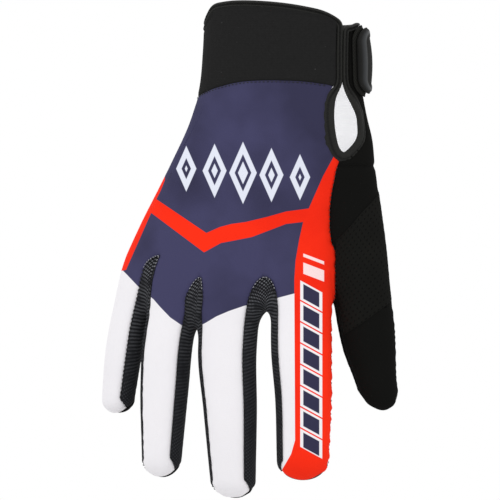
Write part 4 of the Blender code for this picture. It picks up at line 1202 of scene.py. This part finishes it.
def printed_fabric(look):
    """Stretch fabric with its print: blocks of colour, lozenges, bars and a ladder."""
    paint = Paint("printed_fabric")
    across = paint.across_print()
    down = -paint.places()[2]
    red = down.above(paint.curve(across, CHEVRON_TOP)) & across.below(12.0)
    red = red & down.below(paint.curve(across, CHEVRON_FOOT))
    side = across.above(paint.curve(down, SIDE_EDGE)) & down.above(66.0)
    ulnar = across.below(paint.curve(down, ULNAR_EDGE)) & down.between(76.0, 129.5)
    red = red | side | ulnar
    tips = down.above(paint.curve(across, TIP_EDGE))
    # Lozenges in a row, smaller to both sides, each an outline round a small solid one.
    place = (across + 22.0) / 14.2
    number = place.math("ADD", 0.5).math("FLOOR").math("MINIMUM", 2.0).math("MAXIMUM", -2.0)
    size = 1.0 - abs(number) * 0.13
    local = abs(place - number) * 14.2 / (size * 6.9)
    tall = abs(down - 80.5 - number * 1.1) / (size * 15.5)
    reach = (1.0 - local - tall) * size * 6.3
    lozenge = reach.between(0.0, 2.5) | reach.above(4.0)
    # Two slanted bars.
    slant = down - (across - 8.0) * 0.38
    bars = (slant.between(120.7, 122.3) | slant.between(125.2, 130.8)) & across.between(8.1, 18.5)
    # Ladder of slanted rungs with a pale edge.
    rung = (down - (across - 12.0) * 0.55 - 136.5) / 10.6
    within = (rung - rung.math("FLOOR") - 0.5) * 10.6
    panel = across.between(6.6, 17.6) & rung.between(0.06, 7.9, 0.03)
    ink = abs(within).below(3.7) & across.between(8.1, 16.1) & panel
    pale = panel & abs(within).below(4.9)
    shade = paint.noise(26.0, 3.0) - 0.5
    # Painted shade: the navy darkens on the right of the back, from the cuff down to 66 mm, where the back
    # turns away from the light.
    wear_and_painted_shade = across.above(4.0, 16.0) & down.below(66.0, 20.0)
    navy = paint.mix(shade * 3.2 + 0.75 - wear_and_painted_shade * 0.9, look.navy_deep, look.navy)
    red_cloth = paint.mix(shade * 2.6 + 0.7, look.red_deep, look.red)
    white = paint.mix(shade + 0.5, look.white_shade, look.white)
    colour = paint.mix(tips, navy, white)
    colour = paint.mix(red, colour, red_cloth)
    colour = paint.mix(lozenge, colour, look.pale_print)
    colour = paint.mix(bars, colour, look.bars)
    colour = paint.mix(pale, colour, look.white)
    colour = paint.mix(ink, colour, look.navy_deep)
    knit = paint.noise(1500.0, 1.0)
    loose = paint.noise(60.0, 3.0)
    return paint.finish(colour, 0.82, knit * 0.2 + loose * 0.8, 0.35, 0.0012, Specular_IOR_Level=0.08)


def lining_fabric(look):
    """Pale knitted lining on the inner faces, with a painted glow that lights the inside seen through the
    keyhole.
    """
    paint = Paint("pale_lining")
    ribs = paint.places()[2].wave(5.2)
    colour = paint.mix(ribs * 0.2, look.lining, (0.88, 0.88, 0.89))
    # The emission is painted glow: the lining is no lamp.
    return paint.finish(colour, 0.9, ribs, 0.2, 0.0002, Emission_Color=colour, Emission_Strength=LINING_PAINTED_GLOW)


def black_mesh(look):
    """Open mesh: a diagonal grid of light threads between dark holes, on the piece's own map."""
    paint = Paint("black_mesh")
    u, v, _ = paint.places("UV")
    down = -paint.places()[2]
    pitch = 1.35
    first, second = (u * 0.7 + v * 0.8) / pitch, (u * 0.7 - v * 0.8) / pitch
    off = [line.off_middle() for line in (first, second)]
    reach = (off[0] * off[0] + off[1] * off[1]).math("SQRT")
    dot = reach.below(0.26, 0.16)
    hole = reach.above(0.44, 0.16)
    wear_and_painted_shade = paint.noise(160.0, 2.0)
    top = down.below(158.0, 50.0)
    lit = dot * wear_and_painted_shade.above(0.40, 0.25) * (top * 0.40 + 0.09)
    colour = paint.mix(lit, look.mesh, look.mesh_light)
    colour = paint.mix(hole * (top * 0.35 + 0.35), colour, (0.004, 0.004, 0.005))
    return paint.finish(colour, 0.75, dot - hole * 0.6, 0.4, 0.0003, Specular_IOR_Level=0.08)


def black_suede(look):
    """Microfibre suede: fine nap with a soft mottled shade."""
    paint = Paint("black_suede")
    nap = paint.noise(1100.0, 3.0, 0.7)
    cloud = paint.noise(70.0, 3.0)
    colour = paint.mix(cloud * 0.7 + nap * 0.3, look.suede, look.suede_light)
    return paint.finish(colour, 0.92, nap, 0.5, 0.0003, Specular_IOR_Level=0.04)


def patch_suede(look):
    """Suede of the thumb's patch, with rows of small punched holes on its own map."""
    paint = Paint("patch_suede")
    u, v, _ = paint.places("UV")
    pitch = 2.6
    row = (v / pitch).math("FLOOR")
    shift = (row / 2.0 - (row / 2.0).math("FLOOR")) * pitch
    along = (u + shift) / pitch
    off = [line.off_middle() for line in (along, v / pitch)]
    reach = (off[0] * off[0] + off[1] * off[1]).math("SQRT") * pitch
    hole = reach.below(0.42, 0.2)
    nap = paint.noise(1100.0, 3.0, 0.7)
    cloud = paint.noise(60.0, 3.0)
    colour = paint.mix(cloud * 0.7 + nap * 0.3, look.patch, look.patch_light)
    colour = paint.mix(hole * 0.8, colour, (0.003, 0.003, 0.003))
    return paint.finish(colour, 0.9, nap * 0.4 - hole * 1.5, 0.5, 0.0004, Specular_IOR_Level=0.04)


def neoprene(look):
    """Knit-faced foam of the cuff: very fine vertical ribs and a few flecks."""
    paint = Paint("neoprene")
    ribs = paint.across_print().wave(9.5)
    rows = paint.places()[2].wave(7.5)
    grain = paint.noise(700.0, 2.0)
    fleck = paint.cells(160.0).below(0.045, 0.03)
    colour = paint.mix(grain * 0.6 + ribs * rows * 0.4, look.neoprene, look.neoprene_light)
    colour = paint.mix(fleck * 0.5, colour, (0.09, 0.09, 0.09))
    return paint.finish(colour, 0.88, ribs * rows * 0.6 + grain * 0.4, 0.3, 0.0002, Specular_IOR_Level=0.06)


def binding_cloth(look):
    """Bias tape: fine diagonal ribs and a stitched channel painted darker as shade in its groove."""
    paint = Paint("binding_cloth")
    u, v, _ = paint.places("UV")
    ribs = (u * 0.8 + v).wave(7.0)
    grain = paint.noise(900.0, 2.0)
    colour = paint.mix(ribs * 0.5 + grain * 0.5, look.binding, look.binding_light)
    # Painted shade: the channel's groove is darkened nearly to black.
    channel = paint.attribute("channel")
    colour = paint.mix(channel * 0.85, colour, (0.002, 0.002, 0.002))
    return paint.finish(colour, 0.62, ribs * 0.6 + grain * 0.4, 0.35, 0.0002, Specular_IOR_Level=0.2)


def strap_webbing(look):
    """Woven base of the strap: small plain weave."""
    paint = Paint("strap_webbing")
    u, v, _ = paint.places("UV")
    weave = ((u * 5.2).math("SINE") * (v * 5.2).math("SINE")) * 0.5 + 0.5
    colour = paint.mix(weave, look.binding, look.binding_light)
    return paint.finish(colour, 0.8, weave, 0.5, 0.0003, Specular_IOR_Level=0.08)


def moulded_rubber(look):
    """Rubber of the strap's face: a satin border round a finely pebbled field, the border lighter with
    painted sheen.
    """
    paint = Paint("moulded_rubber")
    border = paint.attribute("border")
    pebble = paint.noise(1300.0, 2.0)
    cloud = paint.noise(80.0, 2.0)
    field = paint.mix(cloud, look.rubber, look.rubber_light)
    # Painted sheen: the raised border is coloured a lighter grey for its gloss; its lower roughness is the
    # real satin.
    colour = paint.mix(border, field, look.rubber_border_sheen)
    height = pebble * (1.0 - border)
    return paint.finish(colour, 0.85 - border * 0.4, height, 0.3, 0.0002, Specular_IOR_Level=0.16)


def thread(name, colour):
    """Sewing thread, with a slight twist."""
    paint = Paint(name)
    twist = paint.noise(2500.0, 1.0)
    lighter = tuple(min(1.0, level * 1.3 + 0.004) for level in colour)
    return paint.finish(paint.mix(twist, colour, lighter), 0.6, twist, 0.4, 0.0001)


def binding_shape(steps, sides):
    """Rolled tape carried round the cuff's edge, the slit and the keyhole."""
    degrees, height = binding_route()
    path = onto_form(hand_point(height, degrees))
    closed = np.concatenate([path, path[:1]])
    length = np.concatenate([[0], np.cumsum(np.linalg.norm(np.diff(closed, axis=0), axis=1))])
    at = np.linspace(0, length[-1], steps + 1)[:-1]
    path = np.stack([np.interp(at, length, closed[:, axis]) for axis in range(3)], axis=-1)
    path = onto_form(path)
    for _ in range(PATH_ROUNDS):
        path = (np.roll(path, 1, axis=0) + 2 * path + np.roll(path, -1, axis=0)) / 4
    path = onto_form(path)
    out = outward(path)
    along = np.roll(path, -1, axis=0) - np.roll(path, 1, axis=0)
    along /= np.linalg.norm(along, axis=1, keepdims=True)
    side = np.cross(out, along)
    side /= np.linalg.norm(side, axis=1, keepdims=True)
    turn = np.linspace(0, 2 * math.pi, sides + 1)[:-1]
    half = (band_half(path[:, 2]) + 0.0001)[:, None]
    cosine, sine = np.cos(turn)[None], np.sin(turn)[None]
    wide = np.clip((half - 0.0018) / 0.0016, 0.0, 1.0)
    across = half * np.sign(cosine) * np.abs(cosine)**0.85
    across = np.where(across > 0, across * (1 - 0.28 * wide), across)
    rise = BINDING_DEPTH / 2 * np.sign(sine) * np.abs(sine)**0.8 * np.ones_like(half)
    groove = half * (CHANNEL_PLACE + CHANNEL_SHIFT * wide)
    top = np.clip(sine * 1.6, 0.0, 1.0)
    channel = np.exp(-((across + groove) / CHANNEL_WIDTH)**2) * (sine > 0)
    rise = rise - top * CHANNEL_DEPTH * channel
    rise = rise - top * wide * 0.0006 * ease(-across / half, 0.2, 0.5)
    ripple = 0.00009 * np.sin(at / 0.0021 * 2 * math.pi)[:, None]
    rise = rise + ripple * top * np.exp(-((across + groove) / 0.0011)**2)
    middle = path - out * CUFF_WALL / 2
    ring = middle[:, None] + side[:, None] * across[..., None] + out[:, None] * rise[..., None]
    index = np.arange(steps * sides).reshape(steps, sides)
    next_step, next_side = np.roll(index, -1, axis=0), np.roll(index, -1, axis=1)
    both = np.roll(next_step, -1, axis=1)
    faces = np.stack([index, next_side, both, next_step], axis=-1).reshape(-1, 4)
    girth = np.arange(sides + 1) / sides * 0.012
    long = at[:, None] + 0 * girth[None, :-1]
    near_side = np.stack([girth[None, :-1] + 0 * long, long], axis=-1)
    far_side = np.stack([girth[None, 1:] + 0 * long, long], axis=-1)
    places = np.stack([near_side, far_side], axis=2)
    step = length[-1] / steps
    far = places + np.array([0.0, step])
    loops = np.stack([places[:, :, 0], places[:, :, 1], far[:, :, 1], far[:, :, 0]], axis=2).reshape(-1, 4, 2)
    return ring.reshape(-1, 3), faces, loops, channel.reshape(-1)


def stitch_row(points, length, pitch, radius, lift):
    """Short threads along a line on the form: small six-sided capsules, end to end."""
    gaps = np.linalg.norm(np.diff(points, axis=0), axis=1)
    at = np.concatenate([[0], np.cumsum(gaps)])
    count = int(at[-1] / pitch)
    starts = (np.arange(count) + 0.5) * at[-1] / count
    shares = np.linspace(-1, 1, 5)
    sample = starts[:, None] + shares[None] * length / 2
    line = np.stack([np.interp(sample, at, points[:, axis]) for axis in range(3)], axis=-1)
    out = outward(line.reshape(-1, 3)).reshape(line.shape)
    along = np.gradient(line, axis=1)
    along /= np.linalg.norm(along, axis=-1, keepdims=True)
    side = np.cross(out, along)
    girth = radius * np.array([0.35, 0.85, 1.0, 0.85, 0.35])
    sag = lift - radius * 1.2 * shares**2
    turn = np.linspace(0, 2 * math.pi, 7)[:-1]
    cosine, sine = np.cos(turn)[None, None, :, None], np.sin(turn)[None, None, :, None]
    round_it = side[:, :, None] * cosine + out[:, :, None] * sine
    ring = (line + out * sag[None, :, None])[:, :, None] + girth[None, :, None, None] * round_it
    base = np.arange(count)[:, None, None] * 30
    a, b = np.meshgrid(np.arange(4), np.arange(6), indexing="ij")
    b2 = (b + 1) % 6
    quad = np.stack([a * 6 + b, a * 6 + b2, (a + 1) * 6 + b2, (a + 1) * 6 + b], axis=-1).reshape(1, -1, 4)
    caps = np.array([[3, 2, 1, 0], [5, 4, 3, 0], [24, 25, 26, 27], [24, 27, 28, 29]])[None]
    faces = (np.concatenate([quad, caps], axis=1) + base).reshape(-1, 4)
    return ring.reshape(-1, 3), faces


def stitches(name, lines, material, length, pitch, radius, lift):
    """One object with the stitches of several seams."""
    points, faces = [], []
    count = 0
    for line in lines:
        p, f = stitch_row(line, length, pitch, radius, lift)
        points.append(p)
        faces.append(f + count)
        count += len(p)
    piece = make_object(name, np.concatenate(points), np.concatenate(faces), None, (material,))
    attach(piece, "root")


# How far down an arch its pale threads run, in metres.
ARCH_THREADS = 0.0065
# The camera: its distance, what its picture spans, its sensor in millimetres and its aim.
CAMERA_REACH = 6.0
PICTURE_WIDTH = 0.25
SENSOR_WIDTH = 36.0
AIM_ACROSS = -0.0185
AIM_HEIGHT = -0.119
WORLD_STRENGTH = 1.0
# The floor: its height, its rings' radii and its sides.
FLOOR_HEIGHT = -0.300
FLOOR_RINGS = (0.0001, 0.5, 0.9)
FLOOR_SIDES = 96
# Lights: name, place right of the aim, towards the camera and above it, size and power.
STUDIO_LIGHTS = (
    ("key", (-0.7, 1.1, 1.1), 0.9, 3.2),
    ("fill", (0.9, 1.2, 0.1), 1.0, 0.9),
)
# Soft creases of the back: two ends, width and depth, in metres.
BACK_CREASES = (
    ((-0.047, 0.004, -0.053), (-0.030, -0.016, -0.048), 0.0030, 0.0010),
    ((0.006, -0.020, -0.046), (0.016, -0.017, -0.068), 0.0050, 0.0009),
    ((-0.012, -0.021, -0.045), (-0.010, -0.021, -0.064), 0.0060, 0.0008),
    ((0.032, -0.010, -0.066), (0.012, -0.018, -0.062), 0.0030, 0.0007),
    ((0.034, -0.006, -0.104), (0.016, -0.014, -0.112), 0.0022, 0.0008),
    ((0.032, -0.004, -0.112), (0.016, -0.012, -0.121), 0.0018, 0.0007),
    ((0.030, -0.003, -0.121), (0.016, -0.010, -0.128), 0.0020, 0.0007),
    ((0.030, -0.003, -0.094), (0.018, -0.013, -0.098), 0.0020, 0.0006),
)


def tint(name, description, default):
    """Colour that a user may change."""
    return bpy.props.FloatVectorProperty(name=name, description=description, subtype="COLOR", default=default)


def measure(name, description, default):
    """Size in metres that a user may change."""
    return bpy.props.FloatProperty(name=name, description=description, subtype="DISTANCE", default=default)


class GloveLook(bpy.types.PropertyGroup):
    """Colours and sewing sizes that a user may change."""

    navy: tint("Navy", "Main colour of the back", srgb(67, 66, 98))
    navy_deep: tint("Deep navy", "Shade of the navy", srgb(53, 52, 77))
    red: tint("Red", "Chevron and side", srgb(255, 48, 20))
    red_deep: tint("Deep red", "Shade of the red", srgb(236, 38, 18))
    white: tint("White", "Fingers", srgb(243, 241, 244))
    white_shade: tint("White shade", "Shade of the fingers", srgb(237, 235, 239))
    pale_print: tint("Lozenges", "Row of lozenges", srgb(226, 230, 243))
    bars: tint("Bars", "Two slanted bars", srgb(252, 224, 224))
    lining: tint("Lining", "Inner face", (0.95, 0.95, 0.96))
    mesh: tint("Mesh", "Finger sides", srgb(32, 33, 36))
    mesh_light: tint("Mesh threads", "Light threads", srgb(150, 152, 158))
    suede: tint("Suede", "Palm and thumb", srgb(17, 17, 16))
    suede_light: tint("Suede nap", "Light nap", srgb(19, 19, 18))
    patch: tint("Patch", "Thumb patch", srgb(18, 18, 17))
    patch_light: tint("Patch nap", "Light nap of the patch", srgb(28, 28, 26))
    neoprene: tint("Neoprene", "Cuff", srgb(27, 27, 27))
    neoprene_light: tint("Neoprene light", "Cuff's ribs", srgb(38, 38, 38))
    binding: tint("Binding", "Rolled edge", srgb(19, 19, 18))
    binding_light: tint("Binding light", "Light ribs", srgb(35, 35, 32))
    rubber: tint("Rubber", "Strap's field", srgb(22, 22, 21))
    rubber_light: tint("Rubber light", "Strap's field, light", srgb(31, 31, 30))
    # Painted sheen of the strap's raised border, as a lighter grey.
    rubber_border_sheen: tint("Strap border", "Raised border", srgb(52, 54, 56))
    seam_depth: measure("Seam depth", "Dip at a seam", 0.0007)
    pucker: measure("Pucker", "Ripple along a seam", 0.00018)


class BuildBack(bpy.types.Operator):
    """Printed back of the hand and fingers."""

    bl_idname = "glove.back"
    bl_label = "Back panel"

    def execute(self, context):
        look = context.scene.glove_look

        def relief(points, rim):
            lift = seam_relief(points, rim, look.seam_depth, look.pucker * 1.4, 0.0042)
            distance, height = rim_distance(points, rim)
            thumb_side = ease(points[:, 0], 0.006, 0.016) * ease(points[:, 2], -0.088, -0.098)
            scallop = np.sin(2 * math.pi * height / 0.0066 + 1.5 * np.sin(height * 150.0))
            lift = lift + 0.0004 * thumb_side * scallop * np.exp(-(distance / 0.0036)**2)
            for start, end, width, depth in BACK_CREASES:
                lift = lift + crease(points, start, end, width, depth)
            return lift

        grids = [softened(column_grid(number, "back")) for number in range(4)]
        materials = (printed_fabric(look), shared(lining_fabric, look))
        cloth_piece("back_fabric", grids, SHELL_WALL, materials, relief,
                    node="back_panel")
        return {"FINISHED"}


class BuildSides(bpy.types.Operator):
    """Mesh side walls between the fingers."""

    bl_idname = "glove.sides"
    bl_label = "Finger sides"

    def execute(self, context):
        look = context.scene.glove_look
        material = black_mesh(look)
        names = ("little_ring", "ring_middle", "middle_index")
        for web, name in enumerate(names):
            cloth_piece("mesh_" + name, [fourchette_grid(web)], MESH_WALL, (material,),
                        lambda points, rim: seam_relief(points, rim, 0.0006, 0.0001, 0.003),
                        node="fourchette_" + name)
        return {"FINISHED"}


MADE = {}


def shared(maker, look):
    """A material that several operators use, made the first time it is asked for."""
    if maker not in MADE:
        MADE[maker] = maker(look)
    return MADE[maker]


class BuildPalm(bpy.types.Operator):
    """Suede palm, with the heel beside the keyhole."""

    bl_idname = "glove.palm"
    bl_label = "Palm"

    def execute(self, context):
        look = context.scene.glove_look
        grids = [column_grid(number, "palm") for number in range(4)] + [heel_grid()]
        cloth_piece("palm_suede", grids, PALM_WALL, (shared(black_suede, look), shared(lining_fabric, look)),
                    lambda points, rim: seam_relief(points, rim, look.seam_depth, look.pucker, 0.005),
                    node="palm")
        return {"FINISHED"}


class BuildThumb(bpy.types.Operator):
    """Two halves of the thumb and its perforated patch."""

    bl_idname = "glove.thumb"
    bl_label = "Thumb"

    def execute(self, context):
        look = context.scene.glove_look
        suede = shared(black_suede, look)
        for face in ("back", "palm"):
            cloth_piece("thumb_suede_" + face, [thumb_grid(face)], PALM_WALL, (suede,),
                        lambda points, rim: seam_relief(points, rim, look.seam_depth, look.pucker, 0.004),
                        node="thumb_" + face)
        cloth_piece("patch_suede", [patch_grid()], PATCH_WALL, (patch_suede(look),),
                    lambda points, rim: seam_relief(points, rim, 0.0004, 0.0001, 0.004),
                    lift=PATCH_WALL * 0.8, node="thumb_patch")
        return {"FINISHED"}


class BuildCuff(bpy.types.Operator):
    """Neoprene cuff and the rolled binding."""

    bl_idname = "glove.cuff"
    bl_label = "Cuff"

    def execute(self, context):
        look = context.scene.glove_look

        def relief(points, rim):
            distance, _ = rim_distance(points, rim)
            ridge = 0.00035 * np.exp(-((distance - 0.0009) / 0.0006)**2)
            dip = -0.0004 * np.exp(-((distance - 0.0021) / 0.0006)**2)
            dip = dip - 0.0006 * np.exp(-(distance / 0.0005)**2)
            lower = ease(points[:, 2], -0.012, -0.026)
            return (ridge + dip) * (1 - lower) - lower * 0.0006 * np.exp(-(distance / 0.001)**2)

        cloth_piece("cuff_neoprene", [cuff_grid()], CUFF_WALL, (neoprene(look),), relief,
                    node="cuff")
        points, faces, places, channel = binding_shape(*BINDING_CELLS)
        piece = make_object("rolled_binding", points, faces, places, (binding_cloth(look),))
        # The channel attribute marks the groove and also carries the painted shade of the binding.
        marks = piece.data.attributes.new("channel", "FLOAT", "POINT")
        marks.data.foreach_set("value", channel.astype(np.float32))
        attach(piece, "root")
        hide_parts("cuff_binding")
        return {"FINISHED"}


class BuildStrap(bpy.types.Operator):
    """Woven strap with its moulded face."""

    bl_idname = "glove.strap"
    bl_label = "Strap"

    def execute(self, context):
        look = context.scene.glove_look
        band_top = STRAP_LIFT + STRAP_WALL
        self.wall("strap_base", 0.0, (STRAP_LIFT, band_top), 0.0, strap_webbing(look),
                  "strap_band", "strap_webbing")
        low = band_top + 3 * SEAM_GAP
        self.wall("strap_face", PLATE_MARGIN, (low, low + PLATE_WALL), PLATE_CROWN, moulded_rubber(look),
                  "strap_plate", "moulded_rubber")
        return {"FINISHED"}

    def wall(self, name, margin, levels, crown, material, node, slot):
        """Slab between two levels over the form, with a raised border where it is crowned."""
        grid, u, _ = strap_grid(margin, STRAP_CELLS)
        rows, columns = grid.shape[:2]
        points = grid.reshape(-1, 3)
        out = outward(points)
        faces = facing_out(points, grid_faces(rows, columns))
        rim = open_edges(faces)
        distance, _ = rim_distance(points, points[np.unique(rim)])
        bulge = crown * (1 - u.reshape(-1)**2)
        border = np.exp(-((distance - BORDER_PLACE) / BORDER_WIDTH)**4) if crown else np.zeros(len(points))
        round_off = -0.0007 * np.exp(-(distance / 0.0006)**2)
        top = levels[1] + bulge + round_off + border * BORDER_RISE
        everything = np.concatenate([points + out * top[:, None], points + out * levels[0]])
        every_face, places = slab(faces, grid_places(grid).reshape(-1, 2)[faces], rim, len(points))
        piece = make_object(name, everything, every_face, places, (material,))
        marks = piece.data.attributes.new("border", "FLOAT", "POINT")
        marks.data.foreach_set("value", np.concatenate([border, border]).astype(np.float32))
        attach(piece, "root")
        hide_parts(node)


class BuildStitches(bpy.types.Operator):
    """Threads along the seams."""

    bl_idname = "glove.stitches"
    bl_label = "Stitches"

    def execute(self, context):
        dark = thread("black_thread", srgb(20, 20, 20))
        lines, arches = [], []
        for web in range(3):
            for side in (0, 1):
                curve = onto_form(web_curve(web, side, "back"))
                lines.append(curve)
                arches.append(curve[curve[:, 2].max() - curve[:, 2] < ARCH_THREADS])
        z = np.linspace(float(height_of(THUMB_START)), float(height_of(0.93)), 160)
        lines.append(onto_form(back_thumb_edge(z)))
        degrees = np.linspace(ULNAR_SEAM + 2.0, SLIT_TOP[0] - 16.0, 120)
        lines.append(onto_form(hand_point(panel_top("back", degrees) - 0.0012, degrees)))
        pale = thread("pale_thread", srgb(150, 150, 156))
        arches = [line for line in arches if len(line) > 2]
        stitches("arch_threads", arches, pale, 0.0009, 0.0016, 0.00022, 0.0001)
        stitches("seam_threads", lines, dark, 0.0013, 0.0022, 0.0002, -0.0001)
        return {"FINISHED"}


class BuildStage(bpy.types.Operator):
    """Camera at the photograph's angle, soft lights and a pale floor below the fingertips."""

    bl_idname = "glove.stage"
    bl_label = "Stage"

    def execute(self, context):
        scene = context.scene
        scene.view_settings.view_transform = "Standard"
        turn = PRINT_TURN
        sight = np.array([-math.sin(turn), math.cos(turn), 0.0])
        right = np.array([math.cos(turn), math.sin(turn), 0.0])
        aim = right * AIM_ACROSS + np.array([0.0, 0.0, AIM_HEIGHT])
        lens = bpy.data.cameras.new("view")
        lens.sensor_width = SENSOR_WIDTH
        lens.lens = CAMERA_REACH / PICTURE_WIDTH * SENSOR_WIDTH
        lens.clip_end = 60.0
        camera = bpy.data.objects.new("view", lens)
        camera.location = aim - sight * CAMERA_REACH
        camera.rotation_euler = (math.pi / 2, 0.0, turn)
        scene.collection.objects.link(camera)
        scene.camera = camera
        for name, away, size, energy in STUDIO_LIGHTS:
            lamp = bpy.data.lights.new(name, "AREA")
            lamp.size = size
            lamp.energy = energy
            light = bpy.data.objects.new(name, lamp)
            place = aim + right * away[0] - sight * away[1] + np.array([0.0, 0.0, away[2]])
            light.location = place
            direction = aim - place
            pitch = math.atan2(math.hypot(direction[0], direction[1]), -direction[2])
            light.rotation_euler = (pitch, 0.0, math.atan2(direction[1], direction[0]) - math.pi / 2)
            scene.collection.objects.link(light)
        world = bpy.data.worlds.new("studio")
        world.use_nodes = True
        sky = world.node_tree.nodes["Background"].inputs
        sky["Color"].default_value = (1.0, 1.0, 1.0, 1.0)
        sky["Strength"].default_value = WORLD_STRENGTH
        scene.world = world
        angles = np.linspace(0, 2 * math.pi, FLOOR_SIDES + 1)[:-1]
        rings = np.array(FLOOR_RINGS)
        disc = np.stack([rings[:, None] * np.cos(angles), rings[:, None] * np.sin(angles),
                         np.full((len(rings), FLOOR_SIDES), FLOOR_HEIGHT)], axis=-1)
        index = np.arange(len(rings) * FLOOR_SIDES).reshape(len(rings), FLOOR_SIDES)
        faces = np.stack([index[:-1], index[1:], np.roll(index, -1, 1)[1:], np.roll(index, -1, 1)[:-1]], -1)
        paint = Paint("pale_floor")
        shade = paint.noise(6.0, 2.0)
        floor = make_object("floor", disc.reshape(-1, 3), faces.reshape(-1, 4), None,
                            (paint.finish(paint.mix(shade, (0.78, 0.78, 0.78), (0.82, 0.82, 0.82)), 0.7),))
        return {"FINISHED"}


class GLOVE_PT_panel(bpy.types.Panel):
    """Buttons that build each group of pieces."""

    bl_label = "Riding Glove"
    bl_idname = "GLOVE_PT_panel"
    bl_space_type = "VIEW_3D"
    bl_region_type = "UI"
    bl_category = "Riding Glove"

    def draw(self, context):
        for name in GloveLook.__annotations__:
            self.layout.prop(context.scene.glove_look, name)
        for builder in BUILDERS:
            self.layout.operator(builder.bl_idname)


BUILDERS = (BuildStage, BuildBack, BuildSides, BuildPalm, BuildThumb, BuildCuff, BuildStrap, BuildStitches)


def register():
    """Add the classes and the scene's settings."""
    for item in (GloveLook, GLOVE_PT_panel) + BUILDERS:
        bpy.utils.register_class(item)
    bpy.types.Scene.glove_look = bpy.props.PointerProperty(type=GloveLook)


def unregister():
    """Take them away again."""
    del bpy.types.Scene.glove_look
    for item in reversed((GloveLook, GLOVE_PT_panel) + BUILDERS):
        bpy.utils.unregister_class(item)


def main():
    """Build every piece."""
    register()
    bpy.ops.glove.stage()
    bpy.ops.glove.back()
    bpy.ops.glove.sides()
    bpy.ops.glove.palm()
    bpy.ops.glove.thumb()
    bpy.ops.glove.cuff()
    bpy.ops.glove.strap()
    bpy.ops.glove.stitches()


if __name__ == "__main__":
    main()
